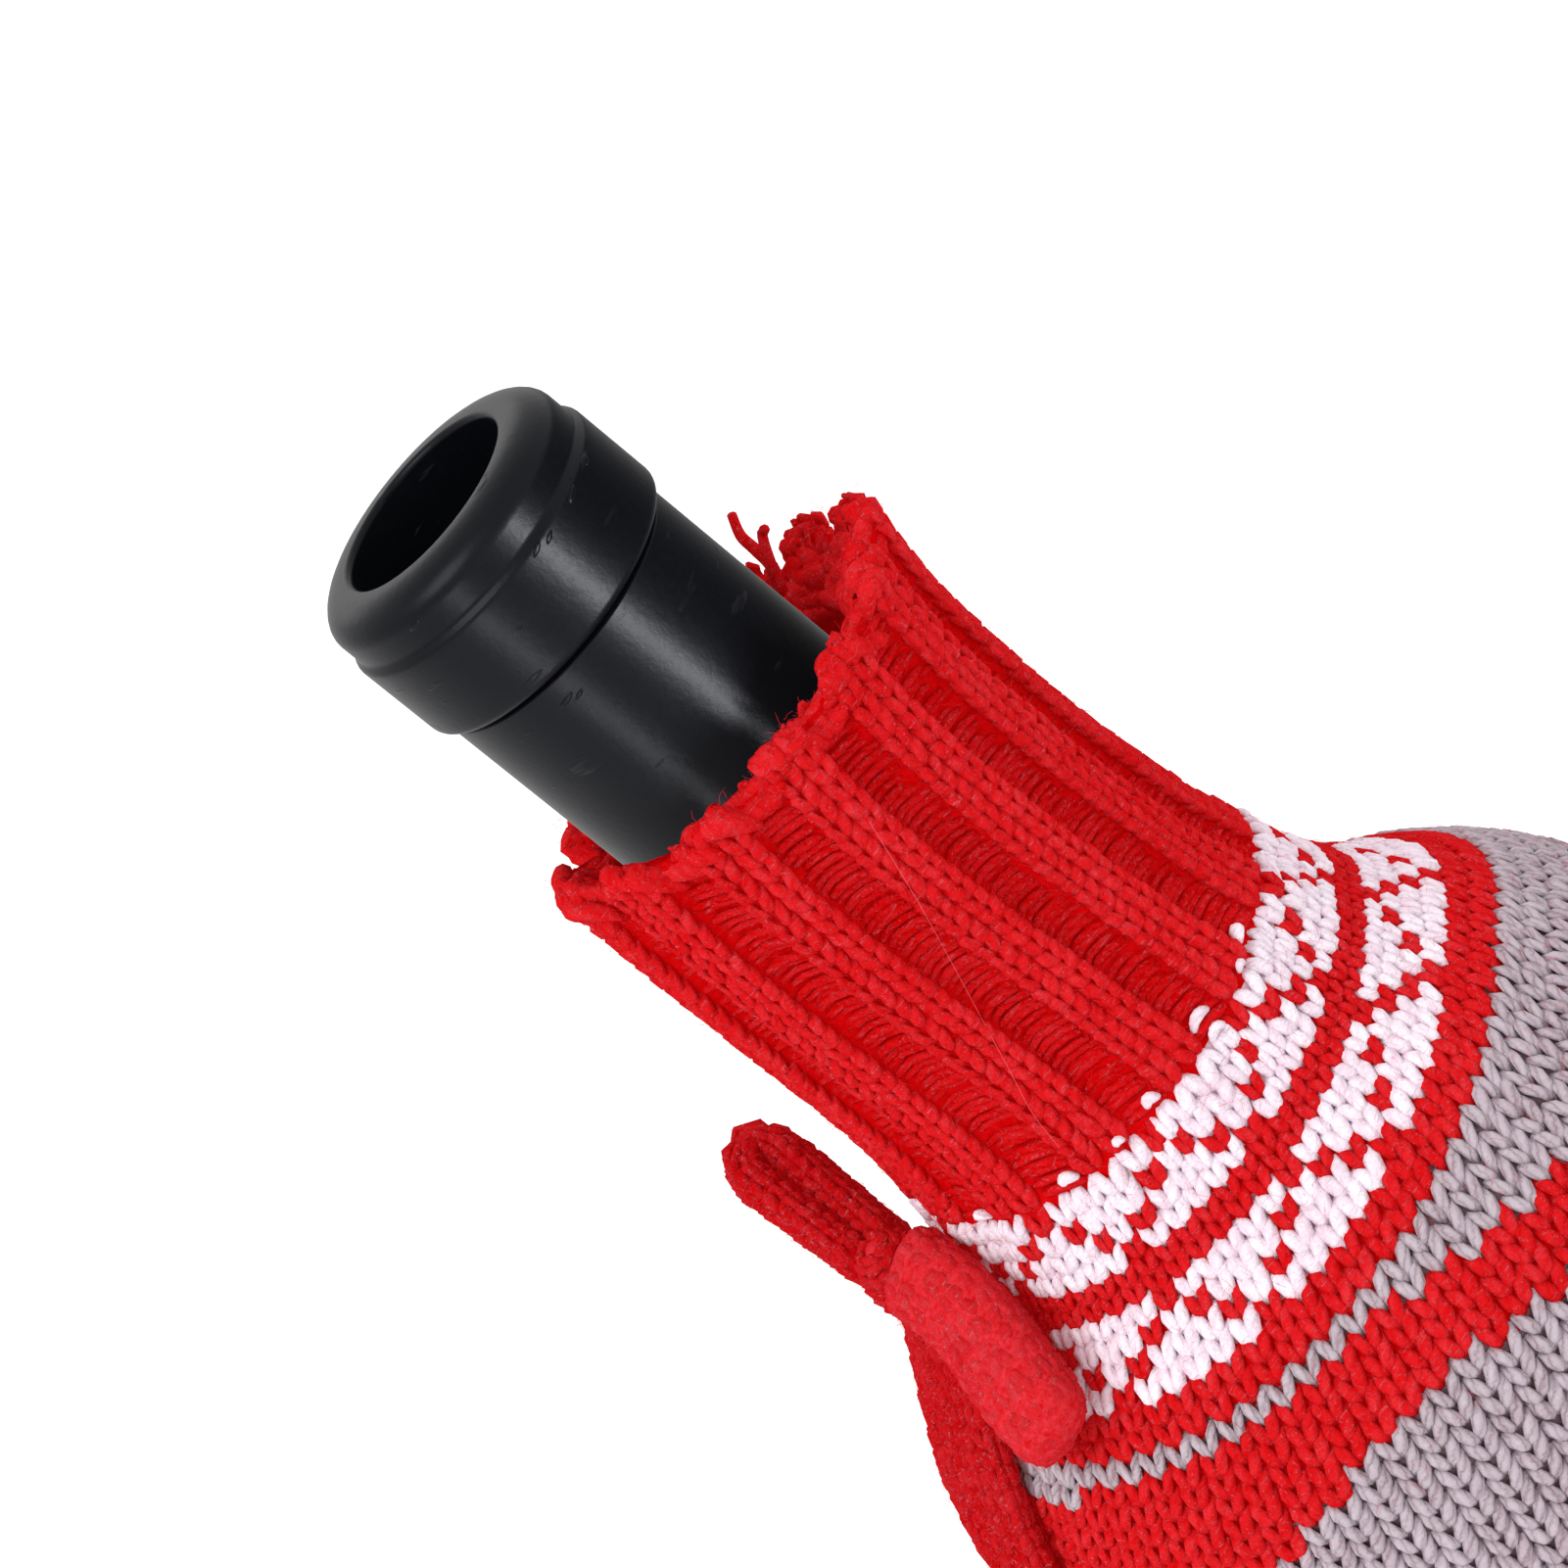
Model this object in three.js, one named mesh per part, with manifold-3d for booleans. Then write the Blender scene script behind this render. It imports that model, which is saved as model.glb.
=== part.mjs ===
// Knitted wine bottle cover, pulled over a plain wine bottle.
// Millimetres, +Z up. The origin is the centre of the bottle's base, on the surface it stands on.
// The front faces -Y. Angles round the axis start at the front and grow towards +X.

import * as THREE from 'three';
import Module from 'manifold-3d';
import { mergeVertices } from 'three/addons/utils/BufferGeometryUtils.js';

const wasm = await Module();
wasm.setup();

// ---------- driving dimensions ----------

const FULL_TURN = 2 * Math.PI;

const BOTTLE = {
  height: 300,
  bodyRadius: 36.6,
  neckRadius: 13.7,
  wall: 3,
  baseThickness: 5,
  baseRound: 2.5,
  segments: 40,
};

// The shoulder is one convex arc and one hollow arc that meet at the shoulder angle.
const SHOULDER = {
  start: 184,
  radius: 22,
  angle: THREE.MathUtils.degToRad(50),
  steps: 5,
};

// The finish is the thick ring at the mouth: a rounded lip over a wider band.
const FINISH = {
  boreRadius: 9.4,
  boreRound: 1,
  lipRadius: 14.2,
  lipRound: 2.4,
  lipHeight: 5,
  bandRadius: 14.75,
  bandRound: 0.9,
  bandFoot: 285.3,
  stepHeight: 0.5,
  roundSteps: 3,
};

const COVER = {
  thickness: 2.4,
  ribs: 14,
  scallop: 1.3,
  frontRise: 2.2,
  rightRise: 0.8,
};

// Where the four corners of one rib's outline lie, as shares of the rib's turn, and how deep each is.
const RIB_OUTLINE = [
  { share: -0.26, depth: 0 },
  { share: 0.26, depth: 0 },
  { share: 0.42, depth: 1 },
  { share: 0.58, depth: 1 },
];

// One row for each ring of the cover, from the hem to the collar's edge:
// height, outer radius, sideways shift of the ring's centre, depth of the rib's valleys,
// unevenness of the radius, and share of the scalloped edge's height.
const COVER_RINGS = [
  { z: 0, radius: 41, shift: 0.8, rib: 0.9, uneven: 0.2, edge: 0 },
  { z: 13, radius: 41.3, shift: 0.9, rib: 0.9, uneven: 0.2, edge: 0 },
  { z: 20, radius: 42, shift: 0.9, rib: 0, uneven: 0.3, edge: 0 },
  { z: 75, radius: 42.2, shift: 1.2, rib: 0, uneven: 0.4, edge: 0 },
  { z: 130, radius: 42.3, shift: 1.4, rib: 0, uneven: 0.4, edge: 0 },
  { z: 178, radius: 42.4, shift: 1.5, rib: 0, uneven: 0.3, edge: 0 },
  { z: 188, radius: 41.8, shift: 1.6, rib: 0, uneven: 0.3, edge: 0 },
  { z: 193.5, radius: 39.6, shift: 1.5, rib: 0, uneven: 0.2, edge: 0 },
  { z: 199.3, radius: 35.4, shift: 1.4, rib: 0, uneven: 0.15, edge: 0 },
  { z: 204.2, radius: 30.5, shift: 1.6, rib: 0, uneven: 0.2, edge: 0 },
  { z: 208.5, radius: 27.1, shift: 1.8, rib: 0, uneven: 0.2, edge: 0 },
  { z: 214.5, radius: 24.7, shift: 2, rib: 0.2, uneven: 0.2, edge: 0 },
  { z: 221, radius: 23.3, shift: 2, rib: 0.9, uneven: 0.2, edge: 0 },
  { z: 228, radius: 22.2, shift: 1.8, rib: 1.8, uneven: 0.2, edge: 0 },
  { z: 243, radius: 21.7, shift: 1.5, rib: 2.2, uneven: 0.3, edge: 0 },
  { z: 256, radius: 21.9, shift: 1.8, rib: 2.2, uneven: 0.3, edge: 0.2 },
  { z: 262.5, radius: 22.3, shift: 2.4, rib: 2, uneven: 0.3, edge: 0.7 },
  { z: 266.8, radius: 22.9, shift: 3, rib: 1.6, uneven: 0.3, edge: 1 },
];

// The radius swells and shrinks a little in waves that climb round the cover:
// each wave's share, its number of lobes, and the height in which it turns by one radian.
const UNEVEN_WAVES = [
  { share: 0.6, lobes: 3, climb: 45 },
  { share: 0.4, lobes: 5, climb: -30 },
];

// The tie is one soft knitted band, tied in a bow on the cover's left side.
const TIE = {
  width: 9,
  thickness: 3.6,
  corner: 1.4,
  stepLength: 3.6,
};

const KNOT = {
  center: { x: -26.9, y: -1, z: 217 },
  radii: { x: 3.7, y: 4.4, z: 5.2 },
  segments: 14,
  rings: 8,
};

// The direction that the band's width keeps to, as near as it can, in each loop and tail.
const BAND_WIDTH_ALONG = {
  backLoop: { x: 0, y: -0.5, z: 0.86 },
  frontLoop: { x: 0.78, y: -0.38, z: 0.5 },
  leftTail: { x: -0.2, y: 0.98, z: 0 },
  backTail: { x: 0.12, y: 0.99, z: 0 },
};

// The band's middle line in each loop, from the knot out and back to the knot.
const BACK_LOOP = [
  { x: -25.6, y: 1, z: 217.2 },
  { x: -25.6, y: 8, z: 220.2 },
  { x: -25.6, y: 14, z: 223.3 },
  { x: -25.7, y: 18.6, z: 225.8 },
  { x: -27.7, y: 21.6, z: 227.6 },
  { x: -29.7, y: 18.6, z: 225.8 },
  { x: -29.6, y: 14, z: 223.1 },
  { x: -29.2, y: 8, z: 219.8 },
  { x: -28.4, y: 1, z: 216.8 },
];

const FRONT_LOOP = [
  { x: -26, y: -2.5, z: 216.6 },
  { x: -25.8, y: -6, z: 214.8 },
  { x: -26.1, y: -9.5, z: 211.9 },
  { x: -26.9, y: -12.8, z: 208.9 },
  { x: -27.8, y: -16, z: 206.2 },
  { x: -28.4, y: -19, z: 205.2 },
  { x: -28.5, y: -20.8, z: 206.9 },
  { x: -27.9, y: -19.2, z: 209.6 },
  { x: -26.8, y: -15.4, z: 212.2 },
  { x: -25.9, y: -11.4, z: 215 },
  { x: -25.8, y: -7.4, z: 217.5 },
  { x: -26.3, y: -2.6, z: 218.8 },
];

// The band's middle line in each tail, from the knot to its free end.
const LEFT_TAIL = [
  { x: -27.4, y: -1, z: 215 },
  { x: -30.6, y: -3, z: 209 },
  { x: -35, y: -4.8, z: 202 },
  { x: -39.4, y: -6.6, z: 194.6 },
  { x: -42.4, y: -8, z: 186 },
  { x: -43.2, y: -9, z: 172 },
  { x: -43.2, y: -9, z: 152 },
];

const BACK_TAIL = [
  { x: -27.4, y: 1, z: 215 },
  { x: -30.6, y: 2.8, z: 209 },
  { x: -35.4, y: 3.8, z: 202 },
  { x: -39.7, y: 4.6, z: 194.6 },
  { x: -42.5, y: 5.2, z: 186 },
  { x: -43.3, y: 5.6, z: 173 },
  { x: -43.1, y: 6, z: 160 },
];

const FINISHES = {
  blackGlass: { color: 0x17181b, roughness: 0.35, metalness: 0 },
  redYarn: { color: 0xc81f2b, roughness: 0.95, metalness: 0 },
};

const WELD_DISTANCE = 1e-4;

// ---------- helpers ----------

// Points of an arc round (cx, cz) in the lathe's plane, both ends included.
function arc(cx, cz, radius, from, to, steps) {
  const points = [];
  for (let i = 0; i <= steps; i++) {
    const angle = from + (to - from) * i / steps;
    points.push(new THREE.Vector2(cx + radius * Math.cos(angle), cz + radius * Math.sin(angle)));
  }
  return points;
}

// LatheGeometry turns about Y, so its result is stood up to turn about Z.
function latheAboutZ(profile, segments) {
  const geometry = new THREE.LatheGeometry(profile, segments);
  geometry.rotateX(Math.PI / 2);
  return geometry;
}

function weld(geometry) {
  const bare = geometry.clone();
  bare.deleteAttribute('normal');
  bare.deleteAttribute('uv');
  return mergeVertices(bare, WELD_DISTANCE);
}

function toSolid(geometry) {
  const welded = weld(geometry);
  return new wasm.Manifold(new wasm.Mesh({
    numProp: 3,
    vertProperties: new Float32Array(welded.attributes.position.array),
    triVerts: new Uint32Array(welded.index.array),
  }));
}

function toGeometry(solid) {
  const mesh = solid.getMesh();
  const geometry = new THREE.BufferGeometry();
  geometry.setAttribute('position', new THREE.BufferAttribute(new Float32Array(mesh.vertProperties), 3));
  geometry.setIndex(new THREE.BufferAttribute(new Uint32Array(mesh.triVerts), 1));
  geometry.computeVertexNormals();
  return geometry;
}

function indexedGeometry(points, triangles) {
  const geometry = new THREE.BufferGeometry();
  geometry.setAttribute('position', new THREE.Float32BufferAttribute(points.flatMap((p) => p.toArray()), 3));
  geometry.setIndex(triangles.flat());
  geometry.computeVertexNormals();
  return geometry;
}

function namedMesh(name, geometry, finish) {
  const mesh = new THREE.Mesh(geometry, new THREE.MeshStandardMaterial(finish));
  mesh.name = name;
  return mesh;
}

// ---------- bottle ----------

// The shoulder between a body line and a neck line, from the body upwards.
function shoulderProfile(bodyRadius, neckRadius) {
  const shrink = BOTTLE.bodyRadius - bodyRadius;
  const radius = SHOULDER.radius - shrink;
  const centre = bodyRadius - radius;
  const convex = arc(centre, SHOULDER.start, radius, 0, SHOULDER.angle, SHOULDER.steps);
  const join = convex[convex.length - 1];
  const hollowRadius = (join.x - neckRadius) / (1 - Math.cos(SHOULDER.angle));
  const hollowHeight = join.y + hollowRadius * Math.sin(SHOULDER.angle);
  const hollowCentre = neckRadius + hollowRadius;
  const hollowStart = Math.PI + SHOULDER.angle;
  const hollow = arc(hollowCentre, hollowHeight, hollowRadius, hollowStart, Math.PI, SHOULDER.steps);
  return [...convex, ...hollow.slice(1)];
}

function finishProfile() {
  const lipFoot = BOTTLE.height - FINISH.lipHeight;
  const bandTop = lipFoot - FINISH.stepHeight;
  const lipCentre = FINISH.lipRadius - FINISH.lipRound;
  const boreCentre = FINISH.boreRadius + FINISH.boreRound;
  const bandCentre = FINISH.bandRadius - FINISH.bandRound;
  const quarter = Math.PI / 2;
  const steps = FINISH.roundSteps;
  return [
    new THREE.Vector2(BOTTLE.neckRadius, FINISH.bandFoot),
    ...arc(bandCentre, FINISH.bandFoot + FINISH.bandRound, FINISH.bandRound, -quarter, 0, steps),
    new THREE.Vector2(FINISH.bandRadius, bandTop),
    new THREE.Vector2(FINISH.lipRadius, lipFoot),
    ...arc(lipCentre, BOTTLE.height - FINISH.lipRound, FINISH.lipRound, 0, quarter, steps),
    ...arc(boreCentre, BOTTLE.height - FINISH.boreRound, FINISH.boreRound, quarter, 2 * quarter, steps),
  ];
}

function makeBottle() {
  const footCentre = BOTTLE.bodyRadius - BOTTLE.baseRound;
  const innerBody = BOTTLE.bodyRadius - BOTTLE.wall;
  const foot = arc(footCentre, BOTTLE.baseRound, BOTTLE.baseRound, -Math.PI / 2, 0, FINISH.roundSteps);
  const profile = [
    new THREE.Vector2(0, 0),
    ...foot,
    ...shoulderProfile(BOTTLE.bodyRadius, BOTTLE.neckRadius),
    ...finishProfile(),
    ...shoulderProfile(innerBody, FINISH.boreRadius).reverse(),
    new THREE.Vector2(innerBody, BOTTLE.baseThickness),
    new THREE.Vector2(0, BOTTLE.baseThickness),
  ];
  return namedMesh('bottle', latheAboutZ(profile, BOTTLE.segments), FINISHES.blackGlass);
}

// ---------- cover ----------

function unevenness(angle, z) {
  const waves = UNEVEN_WAVES.map((wave) => wave.share * Math.sin(wave.lobes * angle + z / wave.climb));
  return waves.reduce((sum, wave) => sum + wave, 0);
}

// The collar's edge stands higher on each rib, at the front and a little on the right.
function edgeRise(angle, depth) {
  const ribRise = COVER.scallop * (0.5 - depth);
  return ribRise + COVER.frontRise * Math.cos(angle) + COVER.rightRise * Math.sin(angle);
}

function coverPoint(ring, angle, depth, inward) {
  const radius = ring.radius - ring.rib * depth + ring.uneven * unevenness(angle, ring.z) - inward;
  const height = ring.z + ring.edge * edgeRise(angle, depth);
  return new THREE.Vector3(ring.shift + radius * Math.sin(angle), -radius * Math.cos(angle), height);
}

function ribCorners() {
  const corners = [];
  for (let rib = 0; rib < COVER.ribs; rib++) {
    for (const corner of RIB_OUTLINE) {
      corners.push({ angle: (rib + corner.share) * FULL_TURN / COVER.ribs, depth: corner.depth });
    }
  }
  return corners;
}

// The shell's section is a closed loop of rings: up the outside and down the inside.
function makeCover() {
  const corners = ribCorners();
  const outside = COVER_RINGS.map((ring) => ({ ring, inward: 0 }));
  const inside = COVER_RINGS.map((ring) => ({ ring, inward: COVER.thickness })).reverse();
  const loop = [...outside, ...inside];
  const points = [];
  const triangles = [];
  for (const { ring, inward } of loop) {
    for (const { angle, depth } of corners) {
      points.push(coverPoint(ring, angle, depth, inward));
    }
  }
  const around = corners.length;
  for (let level = 0; level < loop.length; level++) {
    const above = (level + 1) % loop.length;
    for (let i = 0; i < around; i++) {
      const next = (i + 1) % around;
      const a = level * around + i;
      const b = level * around + next;
      const c = above * around + next;
      const d = above * around + i;
      triangles.push([a, b, c], [a, c, d]);
    }
  }
  return namedMesh('cover', indexedGeometry(points, triangles), FINISHES.redYarn);
}

// ---------- tie ----------

function bandSection() {
  const halfWidth = TIE.width / 2;
  const halfThickness = TIE.thickness / 2;
  return [
    { across: -halfWidth, out: -halfThickness + TIE.corner },
    { across: -halfWidth + TIE.corner, out: -halfThickness },
    { across: halfWidth - TIE.corner, out: -halfThickness },
    { across: halfWidth, out: -halfThickness + TIE.corner },
    { across: halfWidth, out: halfThickness - TIE.corner },
    { across: halfWidth - TIE.corner, out: halfThickness },
    { across: -halfWidth + TIE.corner, out: halfThickness },
    { across: -halfWidth, out: halfThickness - TIE.corner },
  ];
}

// Sweeps the band's section along a middle line. The band's width stays as near as it can
// to the given direction, and its thickness lies square to both.
function sweepBand(rows, widthAlong) {
  const widthDirection = new THREE.Vector3(widthAlong.x, widthAlong.y, widthAlong.z);
  const curve = new THREE.CatmullRomCurve3(rows.map((row) => new THREE.Vector3(row.x, row.y, row.z)));
  const steps = Math.ceil(curve.getLength() / TIE.stepLength);
  const section = bandSection();
  const sides = section.length;
  const points = [];
  const triangles = [];
  for (let step = 0; step <= steps; step++) {
    const centre = curve.getPointAt(step / steps);
    const along = curve.getTangentAt(step / steps);
    const out = new THREE.Vector3().crossVectors(along, widthDirection).normalize();
    const across = new THREE.Vector3().crossVectors(out, along).normalize();
    for (const corner of section) {
      points.push(centre.clone().addScaledVector(across, corner.across).addScaledVector(out, corner.out));
    }
  }
  for (let step = 0; step < steps; step++) {
    for (let side = 0; side < sides; side++) {
      const next = (side + 1) % sides;
      const a = step * sides + side;
      const b = step * sides + next;
      triangles.push([a, b, b + sides], [a, b + sides, a + sides]);
    }
  }
  const last = steps * sides;
  for (let side = 1; side < sides - 1; side++) {
    triangles.push([0, side + 1, side], [last, last + side, last + side + 1]);
  }
  return toSolid(indexedGeometry(points, triangles));
}

function makeKnot() {
  const geometry = new THREE.SphereGeometry(1, KNOT.segments, KNOT.rings);
  geometry.rotateX(Math.PI / 2);
  geometry.scale(KNOT.radii.x, KNOT.radii.y, KNOT.radii.z);
  geometry.translate(KNOT.center.x, KNOT.center.y, KNOT.center.z);
  return toSolid(geometry);
}

function makeTie() {
  const solid = makeKnot()
    .add(sweepBand(BACK_LOOP, BAND_WIDTH_ALONG.backLoop))
    .add(sweepBand(FRONT_LOOP, BAND_WIDTH_ALONG.frontLoop))
    .add(sweepBand(LEFT_TAIL, BAND_WIDTH_ALONG.leftTail))
    .add(sweepBand(BACK_TAIL, BAND_WIDTH_ALONG.backTail));
  return namedMesh('tie', toGeometry(solid), FINISHES.redYarn);
}

// ---------- assembly ----------

const coveredBottle = new THREE.Group();
coveredBottle.add(makeBottle(), makeCover(), makeTie());

export default coveredBottle;
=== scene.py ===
"""Looks of the knitted wine bottle cover, on its bottle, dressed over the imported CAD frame."""
import math

import bpy
import numpy as np
from mathutils import Matrix
from mathutils.kdtree import KDTree


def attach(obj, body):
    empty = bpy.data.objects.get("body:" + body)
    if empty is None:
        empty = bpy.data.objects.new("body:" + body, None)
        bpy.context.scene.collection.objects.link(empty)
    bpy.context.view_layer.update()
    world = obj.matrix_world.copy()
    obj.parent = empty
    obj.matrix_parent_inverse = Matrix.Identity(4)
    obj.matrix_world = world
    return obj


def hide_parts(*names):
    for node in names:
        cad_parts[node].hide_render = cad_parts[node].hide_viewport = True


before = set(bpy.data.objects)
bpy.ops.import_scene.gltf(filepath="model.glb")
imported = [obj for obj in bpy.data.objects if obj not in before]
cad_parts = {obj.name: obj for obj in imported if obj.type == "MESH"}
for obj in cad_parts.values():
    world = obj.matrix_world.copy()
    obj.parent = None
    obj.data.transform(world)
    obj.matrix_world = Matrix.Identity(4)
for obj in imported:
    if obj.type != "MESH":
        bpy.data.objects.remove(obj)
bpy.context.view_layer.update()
RNG = np.random.default_rng(20)
TAU = 2 * math.pi
MM = 0.001
UP = np.array([0, 0, 1.0])


def jitter(*shape):
    return RNG.normal(0, 1, shape)


def add_object(name, data):
    thing = bpy.data.objects.new(name, data)
    bpy.context.scene.collection.objects.link(thing)
    return thing


def placed(right, up, back, at):
    """The matrix of a thing at a place, from the ways that its own axes point."""
    return Matrix([(right[k], up[k], back[k], at[k]) for k in range(3)] + [(0, 0, 0, 1)])


# ---- camera, in m

# Where the camera stands, the ways that its own axes point, and its lens in mm.
CAMERA_AT = (0.0, -0.52534, 0.47569)
CAMERA_RIGHT = (0.63137, -0.29920, -0.71543)
CAMERA_UP = (0.77548, 0.24169, 0.58329)
CAMERA_BACK = (-0.00161, -0.92307, 0.38462)
CAMERA_LENS = 146.16
SENSOR_WIDTH = 36
NEAREST_SEEN = 0.01

camera_data = bpy.data.cameras.new("camera")
camera_data.sensor_width = SENSOR_WIDTH
camera_data.lens = CAMERA_LENS
camera_data.clip_start = NEAREST_SEEN
camera = add_object("camera", camera_data)
camera.matrix_world = placed(CAMERA_RIGHT, CAMERA_UP, CAMERA_BACK, CAMERA_AT)
bpy.context.scene.camera = camera

# ---- dimensions, in mm

BOTTLE_HEIGHT = 300
BODY_RADIUS = 36.6
NECK_RADIUS = 13.7
WALL = 3
BASE_THICKNESS = 5
BASE_ROUND = 2.5
SHOULDER_START = 184
SHOULDER_RADIUS = 22
SHOULDER_ANGLE = math.radians(50)
BORE_RADIUS = 9.4
INNER_ROUND = 0.6
LIP_RADIUS = 14.2
LIP_ROUND = 2.8
LIP_HEIGHT = 5
BAND_RADIUS = 14.75
BAND_ROUND = 0.9
BAND_FOOT = 285.3
STEP_HEIGHT = 0.5

COVER_THICKNESS = 2.4
RIBS = 14
# The depth of the cast-off edge's scallops, and how much higher it is at the front and at the right.
SCALLOP = 1.3
FRONT_RISE = 2.2
RIGHT_RISE = 0.8
# The edge rises too on each side of the neck: how much, how far round, how widely, and over what heights
# above the collar's foot.
SIDE_RISE = 2.1
SIDE_RISE_AT = 66
SIDE_RISE_WIDTH = 26
SIDE_RISE_HEIGHTS = (26, 44)
HEM_HEIGHT = 16

# Height, outer radius, sideways shift, depth of the rib's valleys, unevenness, share of the edge's rise.
COVER_RINGS = np.array([
    (0, 41, 0.8, 0.9, 0.2, 0),
    (13, 41.3, 0.9, 0.9, 0.2, 0),
    (20, 42, 0.9, 0, 0.3, 0),
    (75, 42.2, 1.2, 0, 0.4, 0),
    (130, 42.3, 1.4, 0, 0.4, 0),
    (178, 42.4, 1.5, 0, 0.3, 0),
    (188, 41.8, 1.6, 0, 0.3, 0),
    (193.5, 39.6, 1.5, 0, 0.2, 0),
    (199.3, 35.4, 1.4, 0, 0.15, 0),
    (204.2, 30.5, 1.6, 0, 0.2, 0),
    (208.5, 27.1, 1.8, 0, 0.2, 0),
    (214.5, 24.7, 2, 0.2, 0.2, 0),
    (221, 23.3, 2, 0.9, 0.2, 0),
    (228, 22.2, 1.8, 1.8, 0.2, 0),
    (243, 21.7, 1.5, 2.2, 0.3, 0),
    (256, 21.9, 1.8, 2.2, 0.3, 0.2),
    (262.5, 22.3, 2.4, 2, 0.3, 0.7),
    (266.8, 22.9, 3, 1.6, 0.3, 1),
], float)

TIE_WIDTH = 9
TIE_THICKNESS = 3.6
KNOT_CENTRE = (-26.9, -1, 217)
KNOT_RADII = (3.7, 4.4, 5.2)
BACK_LOOP = ((-25.6, 2.6, 216.4), (-25.8, 10, 219), (-25.9, 16, 222.1), (-26.0, 20, 224.9),
             (-27.7, 21.8, 227.4), (-29.5, 18.6, 225.8), (-29.3, 14, 223.1), (-28.9, 8, 219.8),
             (-28.2, 1, 216.8))
FRONT_LOOP = ((-26, -2.5, 216.6), (-25.8, -6, 214.8), (-26.1, -9.5, 211.9), (-26.9, -12.8, 208.9),
              (-27.8, -16, 206.2), (-28.4, -19, 205.2), (-28.5, -20.8, 206.9), (-27.9, -19.2, 209.6),
              (-26.8, -15.4, 212.2), (-25.9, -11.4, 215), (-25.8, -7.4, 217.5), (-26.3, -2.6, 218.8))
LEFT_TAIL = ((-27.4, -1, 215), (-30.6, -3, 209), (-35, -4.8, 202), (-39.4, -6.6, 194.6),
             (-42.4, -8, 186), (-43.2, -9, 172), (-43.2, -9, 152))
BACK_TAIL = ((-27.4, 1, 215), (-30.6, 2.8, 209), (-35.4, 3.8, 202), (-39.7, 4.6, 194.6),
             (-42.5, 5.2, 186), (-43.3, 5.6, 173), (-43.1, 6, 160))
# Each band's middle line, the way its width lies, how plump it is, how much painted light or painted
# shade its stitches get, how deep its cloth lies under the faces of the stitches, and how much narrower
# it is where it folds back.
BANDS = (("back_loop", BACK_LOOP, (0, -0.5, 0.86), 1.2, -0.9, 0.5, 0.42),
         ("front_loop", FRONT_LOOP, (0.86, -0.28, 0.3), 1.45, 0.6, 0.16, 0.1),
         ("left_tail", LEFT_TAIL, (-0.2, 0.98, 0), 1.0, -0.8, 0.5, 0),
         ("back_tail", BACK_TAIL, (0.12, 0.99, 0), 1.0, -0.8, 0.5, 0))

# ---- the knitting's gauge

WALES = 72
WALE_ANGLE = 360 / WALES
COLLAR_FOOT = 221
COLLAR_ROWS = 26
COLLAR_PITCH = 1.735
# How far down the cloth each course's loops end, in mm from the foot of the collar.
ROW_FOOT = (3.2, 5.3, 7.5, 9.4, 11.2, 12.9, 14.6, 16.4, 18.5, 20.7, 22.9, 25.0, 27.1, 29.2, 31.3,
            33.4, 35.4, 37.5, 39.6)
ROW_PITCH = 2.08
FIRST_PITCH = 2.1
# The tables that follow go by mm down the cloth. Turn of the wales, in degrees, and their spreading at
# the front, then the bow of the courses, in mm.
WALE_TURN = ((-10, 5.0), (0, 5.0), (10.4, 3.0), (22.9, -1.5), (29, -4.2), (39.8, -8.0), (230, -66))
WALE_SPREAD = ((-10, 9), (0, 9), (10.4, 8.6), (22.9, 2.3), (29, -2.9), (39.8, -3.0), (90, 0), (230, 0))
COURSE_BOW = ((-40, 0), (-12, 1.2), (2, 2.5), (10.7, 3.5), (22.9, 5.9), (29.2, 4.9), (75, 0), (230, 0))
BOW_LOWEST = math.radians(-25)
# The courses dip again at the right side: how much, and then where and how widely, in degrees.
RIGHT_DIP = ((-40, 0), (-4, 0.5), (5.3, 1.2), (11.2, 2), (16.4, 3), (22.9, 4.2), (29.2, 4.5),
             (75, 0), (230, 0))
RIGHT_DIP_AT = 95
RIGHT_DIP_WIDTH = 27
# How strongly the ribs draw the cloth together, and how far round they have turned, in degrees.
RIB_EASE = ((-50, 1), (0, 1), (5, 0.8), (13, 0), (230, 0))
RIB_GATHER = 1.9
RIB_TURN = ((-48, -0.6), (-35.6, 0.3), (0, 3.6), (12, 3.8))
# Sideways wander of the ribs at the front, in degrees, and how many ribs it reaches to.
RIB_SWAY = {-2: -2.1, -1: 0.7, 0: 0.8, 1: -0.7, 2: -1.3}
SWAY_REACH = 2.6
# Shares of half a rib's width between which its flank falls from the crest to the valley.
RIB_FLANK = (0.21, 0.40)

RED, WHITE, GREY = 0, 1, 2
MOTIF = ("WWWWWR", "RWWWRW", "WRWRWW", "WWRWWW")
# The first row and the middle wale of each band of motifs.
MOTIF_BANDS = ((1, 0), (7, 3))
# The grey wedge's first row and most rows, and the red band's last row at the front and elsewhere.
WEDGE_ROW, WEDGE_MOST = 13, 6
RED_LAST_FRONT, RED_LAST = 17, 24


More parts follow.
